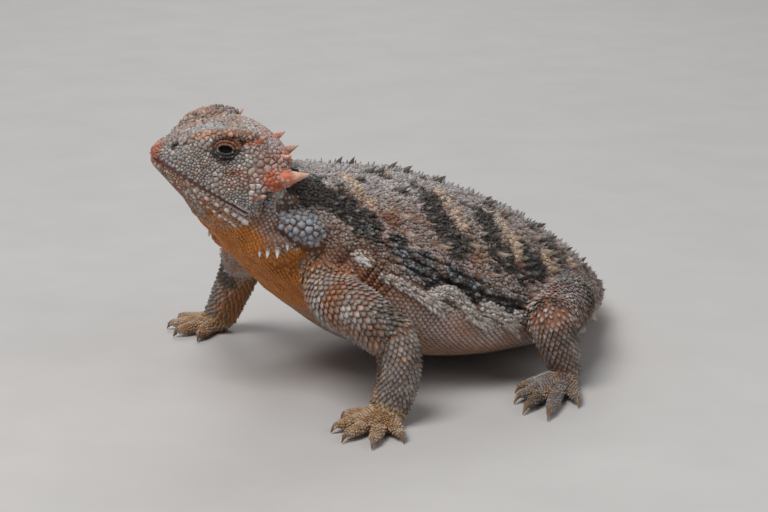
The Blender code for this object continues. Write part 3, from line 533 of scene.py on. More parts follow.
def crown_colours(head, rough, wide, fine):
    """Tops of the plates above the mouth: grey and tan, ruddy at snout, brow line and rear."""
    x, back, up = head.T
    top = mix(paint("grey") * 1.1, paint("tan") * 1.1, smooth(-0.3, 0.25, wide + 0.5 * rough) * 0.7)
    top = mix(top, paint("horn"), smooth(0.2, 0.45, wide + 0.8 * rough) * 0.45)
    top = mix(top, paint("white"), smooth(-0.05, 0.35, fine) * 0.55)
    top = mix(top, paint("blotch") * 3, smooth(0.26, 0.42, rough - 0.3 * wide) * smooth(2.5, 3.5, up) * 0.6)
    top = mix(top, paint("horn"), smooth(2.3, 0.3, back + 1.2 * rough + 0.3 * x) * 0.8)
    brow_left, brow_back, brow_up = np.array(BROW).T[:3]
    edge = smooth(0.5, 0.2, np.abs(up - np.interp(back, brow_back, brow_up) - 0.22))
    edge = edge * smooth(3.2, 4.5, back) * smooth(12.6, 11, back)
    edge = edge * smooth(0.0, 0.5, x - np.interp(back, brow_back, brow_left))
    top = mix(top, (paint("horn") + paint("cream")) * 0.5, edge * 0.85)
    rear = smooth(11.8, 14.2, back + 1.5 * rough + 0.1 * x) * smooth(-2.2, -0.4, up)
    top = mix(top, paint("horn"), rear * 0.35)
    temple = smooth(10.5, 13.0, back) * smooth(2.6, 3.4, up) * smooth(-0.2, 0.2, wide + rough)
    top = mix(top, (paint("blue") + paint("white")) * 0.5, temple * 0.5)
    cheek = smooth(1.3, 0.8, patch_distance(CHEEK_PATCH, back, up, rough))
    return mix(top, paint("horn") * 0.8, cheek * 0.6)


def head_colours(points):
    """Colours at the root and at the top of the plates of head and jaw, with painted shade in the ear
    openings, eye sockets and nostrils.
    """
    head = in_head(points)
    head[:, 0] = np.abs(head[:, 0])
    x, back, up = head.T
    rough, wide, fine = lumps(points, (1.3, 4), (3.0, 5), (0.5, 6))
    top = crown_colours(head, rough, wide, fine)
    low = mix(mix(paint("rust") * 0.8, paint("tan") * 0.5, smooth(-0.2, 0.2, wide)), top, 0.3)
    level = mouth_level(head)
    jaw = mix(paint("tan"), paint("horn") * 0.9, smooth(0.0, 0.3, rough) * 0.7)
    jaw = mix(jaw, paint("white"), smooth(0.0, 0.3, fine) * 0.55)
    throat = smooth(-2.4, -4.6, level) * smooth(2.0, 5.0, back)
    jaw = mix(jaw, mix(paint("tan"), paint("orange"), smooth(6, 12, back)), throat * 0.85)
    low, top = turned((low, top), paint("rust") * 0.9, jaw, smooth(0.1, -0.5, level), 0.8)
    # Painted shade: the ear opening is darkened to near black.
    ear = smooth(1.25, 0.6, np.hypot((back - EAR_BACK) / 0.8, (up - EAR_UP) / 1.9)) * (x > 6)
    top = mix(top, paint("blotch") * 1.6, ear * 0.9)
    # Painted shade: the skin round each eye socket is darkened to deep rust.
    socket_shade = smooth(2.7, 2.1, np.linalg.norm(head - EYE_AT, axis=1))
    colours = turned((low, top), paint("rust") * 0.15, paint("rust") * 0.35, socket_shade, 1.0, 0.9)
    # Painted shade: the inside of each nostril is darkened to near black.
    hole = smooth(0.8, 0.45, np.linalg.norm(head - NOSTRIL, axis=1))
    return turned(colours, paint("blotch") * 0.4, paint("blotch") * 0.6, hole)


def fore_colours(colours, part, t, a, rough, wide, fine):
    """Orange root, dark elbow and yellowish hand of a fore limb."""
    if part == 0:
        up = np.sin(np.radians(a))
        root = smooth(1.2, 0.3, t + 0.8 * rough) * smooth(0.9, -0.2, up)
        root = np.maximum(root, smooth(0.8, 0.3, t + 0.5 * rough) * 0.8)
        low, top = turned(colours, paint("orange") * 0.6, paint("orange") * 0.65, root, 1.0, 0.8)
        top = mix(top, paint("rust") * 1.3, smooth(0.08, 0.3, wide - 0.3 * rough) * 0.5)
        dark = smooth(2.1, 2.8, t + rough) * smooth(-0.3, 0.4, up)
    else:
        dark = smooth(1.1, 0.8, patch_distance(ELBOW_PATCH, t, a % 360, 0.8 * rough))
        dark = np.maximum(dark, smooth(0.1, 0.25, wide) * 0.7) * (part == 1)
        low = mix(colours[0], paint("tan") * 0.5, 0.6)
        top = mix(colours[1] * 0.8, paint("cream"), smooth(0.1, 0.4, rough) * 0.5)
    colours = turned((low, top), paint("blotch"), paint("blotch") * 2.3, dark, 1.0, 0.85)
    if part == 2:
        pale = mix(mix(paint("yellow"), paint("tan"), 0.5), paint("cream"), smooth(-0.3, 0.3, fine))
        colours = turned(colours, paint("yellow") * 0.5, pale, 1.0, 0.8, 0.85)
    return colours


def hind_colours(colours, part, t, rough, wide, fine):
    """Ruddy, white-flecked knee, dark spots and a yellowish foot of a hind limb."""
    knee = smooth(1.6, 2.7, t + rough) if part == 0 else smooth(1.0, 0.0, t + rough)
    knee = knee * (part < 2)
    flecks = mix(paint("horn"), paint("white"), 0.5 + 0.5 * smooth(-0.1, 0.2, fine))
    low, top = turned((colours[0] * 0.8, colours[1]), paint("rust"), flecks, knee, 1.0, 0.9)
    spot = smooth(0.05, 0.25, wide + 0.4 * rough) * (1 - knee)
    low, top = turned((low, top * 0.85), paint("blotch"), paint("blotch") * 3, spot, 1.0, 0.75)
    if part == 2:
        top = mix(top, paint("yellow"), smooth(-0.1, 0.3, rough) * 0.35)
    return low, top


def limb_colours(limb, part, t, angle, points):
    """Colours at the root and at the top of a limb's scales."""
    rough, wide, fine = lumps(points, (1.2, 8), (3.0, 9), (0.7, 10))
    a = np.asarray(angle, float)
    low = mix(paint("rust") * 0.8, paint("orange") * 0.6, smooth(-0.2, 0.3, rough))
    top = mix(paint("grey"), paint("white"), smooth(-0.1, 0.4, fine + 0.4 * rough) * 0.6)
    colours = (low, mix(top, paint("tan"), smooth(0.0, 0.4, wide) * 0.6))
    if part < 2:
        sign = 1 if limb.endswith("left") else -1
        inner = smooth(0.15, 0.75, -sign * frames(TUBES[limb][part], t, a)[0][:, 0] + 0.4 * rough)
        skin = mix(paint("orange") * 1.2, paint("yellow"), smooth(-0.2, 0.3, wide))
        colours = turned(colours, skin * 0.7, skin, inner, 1.0, 0.85)
    if limb.startswith("fore"):
        return fore_colours(colours, part, t, a, rough, wide, fine)
    return hind_colours(colours, part, t, rough, wide, fine)


# Mesh making

def metres(points):
    """Working millimetres to the model's own metres."""
    return (np.asarray(points, float) - CENTRE) * MILLIMETRE


def rolled(rings, around, place, closed=True):
    """A grid rolled into a tube, its points set by place(angle, share of the length)."""
    bm = bmesh.new()
    bmesh.ops.create_grid(bm, x_segments=around, y_segments=rings, size=0.5)
    flat = np.array([v.co[:] for v in bm.verts])
    at = place((flat[:, 0] + 0.5) * 360.0, flat[:, 1] + 0.5)
    for vert, point in zip(bm.verts, at):
        vert.co = point
    bmesh.ops.remove_doubles(bm, verts=bm.verts, dist=0.0002)
    if closed:
        bmesh.ops.holes_fill(bm, edges=[e for e in bm.edges if e.is_boundary], sides=0)
    bmesh.ops.recalc_face_normals(bm, faces=bm.faces)
    return bm


def ball(centre, radii, turn=None):
    """A ball stretched to three radii."""
    bm = bmesh.new()
    bmesh.ops.create_uvsphere(bm, u_segments=48, v_segments=24, radius=1.0)
    bmesh.ops.scale(bm, vec=Vector(radii), verts=bm.verts)
    if turn is not None:
        bmesh.ops.transform(bm, matrix=Matrix(turn).to_4x4(), verts=bm.verts)
    bmesh.ops.translate(bm, vec=Vector(centre), verts=bm.verts)
    return bm


def arrays(bm):
    """Vertices and triangles of a bmesh as arrays, and the bmesh freed."""
    bmesh.ops.triangulate(bm, faces=bm.faces)
    bm.verts.index_update()
    points = np.array([v.co[:] for v in bm.verts])
    faces = np.array([[v.index for v in f.verts] for f in bm.faces])
    bm.free()
    return points, faces


def joined(pieces):
    """Several bmeshes as one."""
    whole = bmesh.new()
    for bm in pieces:
        part = bpy.data.meshes.new("part")
        bm.to_mesh(part)
        bm.free()
        whole.from_mesh(part)
        bpy.data.meshes.remove(part)
    return whole


def mesh_of(name, points, triangles):
    """A mesh in metres from working millimetres and triangles."""
    mesh = bpy.data.meshes.new(name)
    mesh.vertices.add(len(points))
    mesh.vertices.foreach_set("co", metres(points).astype(np.float32).ravel())
    mesh.loops.add(triangles.size)
    mesh.loops.foreach_set("vertex_index", triangles.astype(np.int32).ravel())
    mesh.polygons.add(len(triangles))
    mesh.polygons.foreach_set("loop_start", np.arange(len(triangles), dtype=np.int32) * 3)
    mesh.update(calc_edges=True)
    mesh.validate()
    return mesh


def set_tone(mesh, tones):
    """Store a colour for each vertex."""
    layer = mesh.color_attributes.new(name="tone", type="FLOAT_COLOR", domain="POINT")
    rgba = np.concatenate((np.clip(tones, 0, 1), np.ones((len(tones), 1))), 1)
    layer.data.foreach_set("color", rgba.astype(np.float32).ravel())


def set_bake_map(mesh, places):
    """Store each vertex's place on the unwrap of the skin's own shape."""
    layer = mesh.uv_layers.new(name="OFBake")
    index = np.empty(len(mesh.loops), np.int32)
    mesh.loops.foreach_get("vertex_index", index)
    layer.data.foreach_set("uv", np.clip(places, 0, 1)[index].astype(np.float32).ravel())


def new_piece(name, points, triangles, tones, look, stands_for=(), places=None):
    """A piece that rides on the body, made from points, triangles and colours."""
    mesh = mesh_of(name, points, triangles)
    if tones is not None:
        set_tone(mesh, tones)
    if places is not None:
        set_bake_map(mesh, places)
    mesh.materials.append(finish(look))
    mesh.shade_smooth()
    piece = bpy.data.objects.new(name, mesh)
    bpy.context.scene.collection.objects.link(piece)
    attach(piece, "root")
    if stands_for:
        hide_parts(*stands_for)


def search_tree(points, index=None):
    """Search tree of points, or of those with the given indices."""
    index = range(len(points)) if index is None else index
    tree = KDTree(len(index))
    for i in index:
        tree.insert(points[i], int(i))
    tree.balance()
    return tree


# Finishes

def node(tree, kind, **values):
    """A shader node with its input values set."""
    made = tree.nodes.new(kind)
    for key, value in values.items():
        if key in made.inputs:
            made.inputs[key].default_value = value
        else:
            setattr(made, key, value)
    return made


def finish_of(name, roughness, bump, grain, speckle=0.25, flat=None, subsurface=0.0, shine=0.4):
    """A scaly finish: the stored colour, mottled, with fine bumps."""
    made = bpy.data.materials.new(name)
    made.use_nodes = True
    tree = made.node_tree
    link = tree.links.new
    shader = tree.nodes["Principled BSDF"]
    shader.inputs["Specular IOR Level"].default_value = shine
    shader.inputs["Subsurface Weight"].default_value = subsurface
    shader.inputs["Subsurface Scale"].default_value = 0.0004
    place = tree.nodes.new("ShaderNodeTexCoord").outputs["Object"]
    if flat is None:
        source = tree.nodes.new("ShaderNodeAttribute")
        source.attribute_name = "tone"
        base = source.outputs["Color"]
    else:
        source = node(tree, "ShaderNodeRGB")
        source.outputs[0].default_value = (*flat, 1.0)
        base = source.outputs[0]
    cloud = node(tree, "ShaderNodeTexNoise", Scale=grain * 0.35, Detail=3.0, Roughness=0.6)
    link(place, cloud.inputs["Vector"])
    dark = node(tree, "ShaderNodeMapRange", **{
        "From Min": 0.3, "From Max": 0.7, "To Min": 1.0 - speckle, "To Max": 1.0 + speckle})
    link(cloud.outputs["Fac"], dark.inputs["Value"])
    times = node(tree, "ShaderNodeVectorMath", operation="SCALE")
    link(base, times.inputs[0])
    link(dark.outputs["Result"], times.inputs["Scale"])
    link(times.outputs["Vector"], shader.inputs["Base Color"])
    pits = node(tree, "ShaderNodeTexNoise", Scale=grain, Detail=4.0, Roughness=0.65)
    link(place, pits.inputs["Vector"])
    rough = node(tree, "ShaderNodeMapRange", **{
        "To Min": max(roughness - 0.12, 0.03), "To Max": min(roughness + 0.12, 1.0)})
    link(pits.outputs["Fac"], rough.inputs["Value"])
    link(rough.outputs["Result"], shader.inputs["Roughness"])
    relief = node(tree, "ShaderNodeBump", Strength=bump, Distance=0.00008)
    link(pits.outputs["Fac"], relief.inputs["Height"])
    link(relief.outputs["Normal"], shader.inputs["Normal"])
    return made


# Name, roughness, bump, grain, speckle and any more of each finish
LOOKS = {
    "skin": (("lizard_skin", 0.62, 0.6, 5200, 0.25), {"subsurface": 0.05}),
    "granules": (("back_granules", 0.60, 0.35, 6500, 0.20), {}),
    "shields": (("belly_shields", 0.48, 0.25, 5000, 0.14), {}),
    "keeled": (("keeled_scales", 0.52, 0.3, 6000, 0.18), {}),
    "plates": (("head_plates", 0.58, 1.0, 7500, 0.30), {}),
    "horn": (("horn_surface", 0.48, 0.6, 3600, 0.22), {}),
    "spine": (("spine_surface", 0.50, 0.3, 4200, 0.16), {}),
    "eye": (("eye_surface", 0.10, 0.0, 3000, 0.05), {"shine": 0.16}),
    "lid": (("lid_skin", 0.5, 0.4, 6500, 0.2), {}),
    # The flat dark red of the mouth finish is painted shade in the seam between the lips, tinted like the
    # mouth's lining.
    "mouth": (("mouth_lining", 0.35, 0.3, 5000, 0.2), {"flat": (0.10, 0.012, 0.008)}),
    "claw": (("claw_surface", 0.30, 0.15, 4000, 0.12), {}),
}
FINISHES = {}


def finish(look):
    """A finish made once and shared."""
    if look not in FINISHES:
        values, more = LOOKS[look]
        FINISHES[look] = finish_of(*values, **more)
    return FINISHES[look]


# Skin

def limb_shells(limb, swell):
    """Closed shells of one limb, with round joints, a palm and toes."""
    made = []
    path, tips = LIMBS[limb]
    for tube, end in zip(TUBES[limb], (3, 6, 7)):
        steps = 40 if tube.last > 2 else 12
        made.append(rolled(steps, 36, lambda a, v, s=tube: s.at(v * s.last, a, swell)))
        x, y, z, wide, deep = path[end]
        if end < 7:
            made.append(ball((x, y, z), (wide + swell, wide + swell, deep + swell)))
    palm = np.array(path[-1][:3])
    palm[2] = 1.25
    spread = np.array([(x, y, palm[2]) for x, y in tips]).mean(0)
    made.append(ball(palm * 0.8 + spread * 0.2, (2.5 + swell, 2.7 + swell, 1.5 + swell)))
    for tube in TOES[limb]:
        made.append(rolled(24, 20, lambda a, v, s=tube: s.at(v * s.last, a, swell * 0.6)))
    return made


def head_shells(swell):
    """Closed shells of the head: skull and jaw, brow ridges and the bulges over the eyes."""
    made = [rolled(60, 72, lambda a, v: HEAD.at(v * HEAD.last, a, swell))]
    for sign in (1, -1):
        path = [(sign * x, b, u, ra, rb) for x, b, u, ra, rb in BROW]
        ridge = Tube([(*posed(row[:3]), *row[3:]) for row in path])
        made.append(rolled(30, 16, lambda a, v, s=ridge: s.at(v * s.last, a, swell)))
        bulge = posed(mirrored((6.0, 8.3, 3.6), sign))
        made.append(ball(bulge, (2.4 + swell, 3.6 + swell, 1.75 + swell), TURN.tolist()))
    return made


def rebuilt(bm, grain):
    """The outer surface of overlapping shells as one even mesh, as points and triangles."""
    mesh = bpy.data.meshes.new("shells")
    bm.to_mesh(mesh)
    bm.free()
    holder = bpy.data.objects.new("shells", mesh)
    bpy.context.scene.collection.objects.link(holder)
    step = holder.modifiers.new("even", "REMESH")
    step.mode = "VOXEL"
    step.voxel_size = grain
    step.adaptivity = 0.0
    graph = bpy.context.evaluated_depsgraph_get()
    even = holder.evaluated_get(graph).to_mesh()
    points = np.empty(len(even.vertices) * 3, np.float32)
    even.vertices.foreach_get("co", points)
    even.calc_loop_triangles()
    tris = np.empty(len(even.loop_triangles) * 3, np.int32)
    even.loop_triangles.foreach_get("vertices", tris)
    holder.evaluated_get(graph).to_mesh_clear()
    bpy.data.objects.remove(holder)
    bpy.data.meshes.remove(mesh)
    return points.reshape(-1, 3).astype(float), tris.reshape(-1, 3)


def relaxed(points, tris, weight, rounds):
    """Points moved towards their neighbours' mean, by weight, several times."""
    edges = np.concatenate((tris[:, :2], tris[:, 1:], tris[:, ::2]))
    edges = np.unique(np.sort(edges, 1), axis=0)
    count = np.bincount(edges.ravel(), minlength=len(points))[:, None]
    for _ in range(rounds):
        total = np.zeros_like(points)
        for axis in range(3):
            total[:, axis] = (
                np.bincount(edges[:, 0], points[edges[:, 1], axis], len(points))
                + np.bincount(edges[:, 1], points[edges[:, 0], axis], len(points)))
        points = points + (total / np.maximum(count, 1) - points) * weight[:, None]
    return points


def normals_of(points, tris):
    """Vertex normals."""
    a, b, c = (points[tris[:, i]] for i in range(3))
    flat = np.cross(b - a, c - a)
    total = np.zeros_like(points)
    for axis in range(3):
        total[:, axis] = np.bincount(tris.ravel(), np.repeat(flat[:, axis], 3), len(points))
    return unit(total)


class Samples:
    """Points of all surfaces with their kind, place, direction and colours."""

    def __init__(self):
        self.parts = []
        rows = [self.grid(BODY, 0, "", 0, 420, 2.5), self.grid(HEAD, 1, "", 0, 130, 2.5)]
        for limb in LIMBS:
            for part, tube in enumerate((*TUBES[limb], *TOES[limb])):
                rows.append(self.grid(tube, 2, limb, part, 60, 8))
        self.spots, self.kinds, self.owner, self.t, self.angle, self.along, self.low, self.top = (
            np.concatenate([row[k] for row in rows]) for k in range(8))
        self.trees = [search_tree(self.spots, np.nonzero(self.kinds == k)[0]) for k in (0, 1, 2)]
        self.all = search_tree(self.spots)

    def grid(self, surface, kind, limb, part, count, step):
        """One surface's samples."""
        t, angle = np.meshgrid(np.linspace(0, surface.last, count), np.arange(0, 360, step))
        t, angle = t.ravel(), angle.ravel()
        at = surface.at(t, angle)
        low, top = colours_of(kind, limb, part, t, angle, at)
        self.parts.append((kind, limb, part))
        owner = np.full(len(t), len(self.parts) - 1)
        return at, np.full(len(t), kind), owner, t, angle, frames(surface, t, angle)[1], low, top

    def distance(self, kind, points):
        """Distance of each point from a kind of surface."""
        return np.array([self.trees[kind].find(p)[2] for p in points])

    def nearest(self, points):
        """Index of the sample nearest each point."""
        return np.array([self.all.find(p)[1] for p in points])

    def colours(self, points):
        """Root and top colours at points on the skin, from their nearest samples."""
        near = self.nearest(points)
        low, top = np.zeros((len(points), 3)), np.zeros((len(points), 3))
        for owner, (kind, limb, part) in enumerate(self.parts):
            here = self.owner[near] == owner
            if here.any():
                t, angle = self.t[near[here]], self.angle[near[here]]
                low[here], top[here] = colours_of(kind, limb, part, t, angle, points[here])
        return near, low, top


def colours_of(kind, limb, part, t, angle, at):
    """Root and top colours of any surface."""
    if kind == 0:
        return body_colours(t, angle, at)
    if kind == 1:
        return head_colours(at)
    return limb_colours(limb, min(part, 2), t, angle, at)


def eye_axes(sign):
    """Centre of an eye and its gaze, backward and upward directions in the head's frame."""
    gaze = unit(mirrored(GAZE, sign))
    back = unit(np.array((0, 1.0, 0)) - gaze * gaze[1])
    up = np.cross(gaze, back) * (1 if np.cross(gaze, back)[2] > 0 else -1)
    return mirrored(EYE_AT, sign), gaze, back, up


def ridge(t, a, at, size, turn=0.0):
    """A rounded swelling in station and angle, one at its middle."""
    dt, da = (t - at[0]) / size[0], (a - at[1]) / size[1]
    c, s = math.cos(turn), math.sin(turn)
    return np.exp(-((dt * c + da * s) ** 2) ** 1.5 - ((da * c - dt * s) ** 2) ** 1.5)


def body_folds(t, a, points):
    """Height of the folds of neck, shoulder and flank above the plain form."""
    gap = fringe_gap(t, a)
    high = 0.60 * np.exp(-(gap / 0.65) ** 2)
    high -= 0.45 * np.exp(-((gap - 1.3) / 0.4) ** 2) * smooth(-6, 0, a) * smooth(2.4, 2.9, t)
    high += 1.35 * ridge(t, a, (1.17, -6.5), (0.25, 9.5))
    high += 0.75 * ridge(t, a, (1.12, -44), (0.16, 26), 0.3)
    high -= 0.9 * ridge(t, a, (0.78, 12), (0.16, 20))
    high -= 0.8 * ridge(t, a, (1.24, -21), (0.34, 5.5))
    high -= 0.9 * ridge(t, a, (1.50, -38), (0.12, 26), 0.3)
    high += 0.35 * ridge(t, a, (1.72, -30), (0.10, 30), 0.3)
    high -= 0.45 * ridge(t, a, (1.86, -20), (0.07, 22))
    for i in range(4):
        high += 0.42 * ridge(t, a, (2.22 + 0.15 * i, -13 - i), (0.055, 9))
        high -= 0.42 * ridge(t, a, (2.295 + 0.15 * i, -13 - i), (0.04, 10))
    for height, start, depth in ((16, 1.7, 0.35), (10.5, 1.9, 0.4), (5, 2.2, 0.35)):
        line = height - 1.2 * (t - start) + 1.3 * np.sin(t * 5 + height)
        along = smooth(start, start + 0.4, t) * smooth(5.6, 4.8, t)
        high -= depth * np.exp(-((a - line) / 1.3) ** 2) * along
    for edge in PALE_EDGES:
        high += 0.35 * smooth(1.4, 0.6, patch_distance(edge, t, a))
    wrinkle = noise(points * (1.0, 1.6, 0.5), 1.3, 21) - 0.5
    return high + 0.5 * wrinkle * smooth(2.6, 1.9, t) * smooth(12, 0, a)


def carved(points, normals, near, samples):
    """Sockets, ears, nostrils, mouth line and folds pressed into the skin."""
    head = in_head(points)
    for sign in (1, -1):
        centre, gaze, back, up = eye_axes(sign)
        rel = head - centre
        b, u, g = rel @ back, rel @ up, rel @ gaze
        close = (g > -0.4) & (np.linalg.norm(rel, axis=1) < 3.0)
        inside = smooth(1.12, 0.9, np.hypot(b / 1.7, (u - 0.12) / 1.4)) * close
        target = centre + unit(rel) * 1.2
        head = head * (1 - inside[:, None]) + target * inside[:, None]
    side = np.abs(head[:, 0])
    ear = np.exp(-(((head[:, 1] - EAR_BACK) / 0.6) ** 2 + ((head[:, 2] - EAR_UP) / 1.7) ** 2))
    line = np.interp(head[:, 1], MOUTH[:, 0], MOUTH[:, 1])
    lip = np.exp(-((head[:, 2] - line) / 0.22) ** 2) * (side > 0.3)
    lip *= smooth(-1, 0.5, head[:, 1]) * smooth(11.8, 11.0, head[:, 1])
    even = np.stack((side, head[:, 1], head[:, 2]), 1)
    hole = np.exp(-(np.linalg.norm(even - NOSTRIL, axis=1) / 0.42) ** 2)
    on_head = samples.kinds[near] == 1
    press = (1.1 * ear * (side > 6) + 0.28 * lip + 0.8 * hole) * on_head
    t, a = samples.t[near], folded(samples.angle[near])
    lift = body_folds(t, a, points) * (samples.kinds[near] == 0)
    return posed(head) + normals * (lift - press)[:, None]


# The finished skin: its search tree, points, triangles, normals and samples
SKIN = {}


def settled(points, limit=0.9):
    """Points moved to the skin, with the skin's normals, and which lay near enough."""
    at, out, near = np.array(points, float), np.zeros_like(points), np.zeros(len(points), bool)
    for row, point in enumerate(points):
        place, normal, _, distance = SKIN["tree"].find_nearest(Vector(point))
        if place is not None and distance < limit:
            at[row], out[row], near[row] = place, normal, True
    return at, out, near


# Spreading of scales

def with_share(form, by_length, by_height):
    """A template with each vertex's share of the way from root to point."""
    points, tris = form
    low, span = points.min(0), np.maximum(np.ptp(points, axis=0), 1e-6)
    share = by_length * (points[:, 1] - low[1]) / span[1] + by_height * (points[:, 2] - low[2]) / span[2]
    return points, tris, share / max(share.max(), 1e-6)


def pebble():
    """A small rounded bump leaning along +Y."""
    bm = bmesh.new()
    bmesh.ops.create_icosphere(bm, subdivisions=1, radius=0.56)
    bmesh.ops.scale(bm, vec=(0.95, 1.1, 0.75), verts=bm.verts)
    for vert in bm.verts:
        vert.co.y += 0.35 * max(vert.co.z, 0)
        vert.co.z += 0.08
    return with_share(arrays(bm), 0.15, 0.85)


def granule():
    """A low six-sided bump with a bevelled edge."""
    bm = bmesh.new()
    bmesh.ops.create_circle(bm, cap_ends=True, segments=6, radius=0.56)
    low = bm.faces[:]
    for face in low:
        face.normal_update()
        if face.normal.z < 0:
            bmesh.ops.reverse_faces(bm, faces=[face])
    bm.faces.ensure_lookup_table()
    bottom = bmesh.ops.duplicate(bm, geom=bm.faces[:])["geom"]
    lower = [g for g in bottom if isinstance(g, bmesh.types.BMFace)]
    bmesh.ops.reverse_faces(bm, faces=lower)
    top = [f for f in bm.faces if f not in lower]
    bmesh.ops.inset_individual(bm, faces=top, thickness=0.10, depth=0.34)
    bmesh.ops.inset_individual(bm, faces=top, thickness=0.20, depth=0.14)
    bmesh.ops.poke(bm, faces=top, offset=0.05)
    bmesh.ops.remove_doubles(bm, verts=bm.verts, dist=0.0001)
    bmesh.ops.translate(bm, vec=(0, 0, -0.18), verts=bm.verts)
    return with_share(arrays(bm), 0.1, 0.9)


def keeled_scale(point, keel, lift, wide=0.56):
    """A rhomb of a scale with a raised keel and its point along +Y, lifted at the point."""
    bm = bmesh.new()
    bmesh.ops.create_grid(bm, x_segments=2, y_segments=4, size=1.0)
    for vert in bm.verts:
        x, y = vert.co.x, vert.co.y
        share = (y + 1) / 2
        half = wide * math.sin(math.pi * min(0.16 + 0.84 * share ** 0.85, 1.0)) ** 0.75
        half = max(half, 0.02)
        z = keel * (1 - abs(x)) * (0.4 + 0.6 * share) + lift * share ** 1.5
        vert.co = Vector((x * half, -0.45 + share * (0.45 + point), z - 0.05))
    bmesh.ops.solidify(bm, geom=bm.faces[:], thickness=0.12)
    bmesh.ops.remove_doubles(bm, verts=bm.verts, dist=0.0001)
    bmesh.ops.recalc_face_normals(bm, faces=bm.faces)
    return with_share(arrays(bm), 0.8, 0.2)


def belly_shield(rows):
    """A flat scale with a rounded free edge, overlapping the next one."""
    bm = bmesh.new()
    bmesh.ops.create_grid(bm, x_segments=3, y_segments=rows, size=1.0)
    for vert in bm.verts:
        x, y = vert.co.x, vert.co.y
        share = (y + 1) / 2
        half = 0.53 * (1 - 0.42 * share ** 3)
        z = 0.10 * (1 - x * x) + 0.14 * share
        vert.co = Vector((x * half, -0.5 + 1.12 * share - 0.12 * x * x * share, z - 0.03))
    bmesh.ops.solidify(bm, geom=bm.faces[:], thickness=0.12)
    bmesh.ops.recalc_face_normals(bm, faces=bm.faces)
    return with_share(arrays(bm), 0.8, 0.2)


def cone_spine(sides, rings, bend, keel):
    """A spine of height one along +Z, its point bent back along +Y."""
    bm = bmesh.new()
    bmesh.ops.create_grid(bm, x_segments=sides, y_segments=rings, size=0.5)
    flat_at = [(v, (v.co.x + 0.5) * 2 * math.pi, v.co.y + 0.5) for v in bm.verts]
    for vert, a, f in flat_at:
        r = 0.5 * (1 - f) ** 0.85 * (1 + 0.25 * (1 - f) ** 4)
        r *= 1 + keel * max(math.sin(a), 0) ** 6
        z = f * 1.22 - 0.22
        back = bend * max(z, 0) ** 1.7
        vert.co = Vector((r * math.cos(a), back - r * math.sin(a), z))
    bmesh.ops.remove_doubles(bm, verts=bm.verts, dist=0.0001)
    bmesh.ops.holes_fill(bm, edges=[e for e in bm.edges if e.is_boundary], sides=0)
    bmesh.ops.recalc_face_normals(bm, faces=bm.faces)
    return with_share(arrays(bm), 0.0, 1.0)


class Coat:
    """Scales gathered as arrays and made into one joined mesh."""

    def __init__(self):
        self.points, self.faces, self.tones, self.places = [], [], [], []
        self.count = 0

    def add(self, form, at, out, along, size, colours, places, turn=(0.3, 0.8)):
        """Spread a template over roots, coloured from root to top over the given share."""
        shape, tris, share = form
        n, m = len(at), len(shape)
        if n == 0:
            return
        low, top = (np.broadcast_to(c, (n, 3)) for c in colours)
        size = np.broadcast_to(size, (n, 3))
        along = unit(along - out * np.sum(along * out, 1, keepdims=True))
        across = np.cross(along, out)
        local = shape[None] * size[:, None, :]
        spots = (at[:, None] + local[..., :1] * across[:, None] + local[..., 1:2] * along[:, None]
                 + local[..., 2:] * out[:, None])
        f = smooth(*turn, share)[None, :, None]
        tone = low[:, None] * (1 - f) + top[:, None] * f
        patch = places[:, None, :] + shape[None, :, :2] * 0.0013
        self.points.append(spots.reshape(-1, 3))
        self.faces.append((tris[None] + (np.arange(n) * m)[:, None, None]).reshape(-1, 3)
                          + self.count)
        self.tones.append(tone.reshape(-1, 3))
        self.places.append(patch.reshape(-1, 2))
        self.count += n * m

    def add_mesh(self, points, tris, tone, place):
        """Add a form of its own, coloured vertex by vertex."""
        self.points.append(points)
        self.faces.append(tris + self.count)
        self.tones.append(tone)
        self.places.append(place + 0.0005 * unit(points)[:, :2])
        self.count += len(points)

    def build(self, name, look):
        """The gathered scales as one piece."""
        points = np.concatenate(self.points)
        points[:, 2] = np.maximum(points[:, 2], 0.01)
        new_piece(name, points, np.concatenate(self.faces), np.concatenate(self.tones), look,
                  places=np.concatenate(self.places))


def staggered(surface, t_range, angle_range, pitch, rng, jitter=0.16, squeeze=0.87):
    """Near-even rows of places as station and angle, every second row shifted by half."""
    fine = np.linspace(*t_range, 160)
    angles = np.linspace(*angle_range, 9)
    lines = np.array([surface.at(fine, a) for a in angles])
    length = np.linalg.norm(np.diff(lines, axis=1), axis=2).max(0)
    length = np.concatenate(((0,), np.cumsum(length)))
    count = max(int(length[-1] / (pitch * squeeze)), 1)
    stations = np.interp((np.arange(count) + 0.5) / count * length[-1], length, fine)
    ts, ans = [], []
    for k, t in enumerate(stations):
        ring = np.linspace(*angle_range, 73)
        rim = surface.at(np.full(73, t), ring)
        far = np.concatenate(((0,), np.cumsum(np.linalg.norm(np.diff(rim, axis=0), axis=1))))
        n = max(int(round(far[-1] / pitch)), 1)
        place = (np.arange(n) + 0.25 + 0.5 * (k % 2) + jitter * (rng.random(n) - 0.5)) / n
        place = place[place <= 1.0]
        ans.append(np.interp(place * far[-1], far, ring))
        ts.append(np.full(len(place), t) + jitter * (rng.random(len(place)) - 0.5)
                  * (t_range[1] - t_range[0]) / count)
    return np.concatenate(ts), np.concatenate(ans)


def rooted(surface, t, angle, limit=0.9):
    """Roots on the skin with directions, keeping those whose surface shows there."""
    at = surface.at(t, angle)
    out, along = frames(surface, t, angle)
    place, normal, near = settled(at, limit)
    keep = near & (np.sum(out * normal, 1) > 0.35)
    out = unit(out + normal)
    return keep, place[keep], out[keep], along[keep], t[keep], angle[keep]


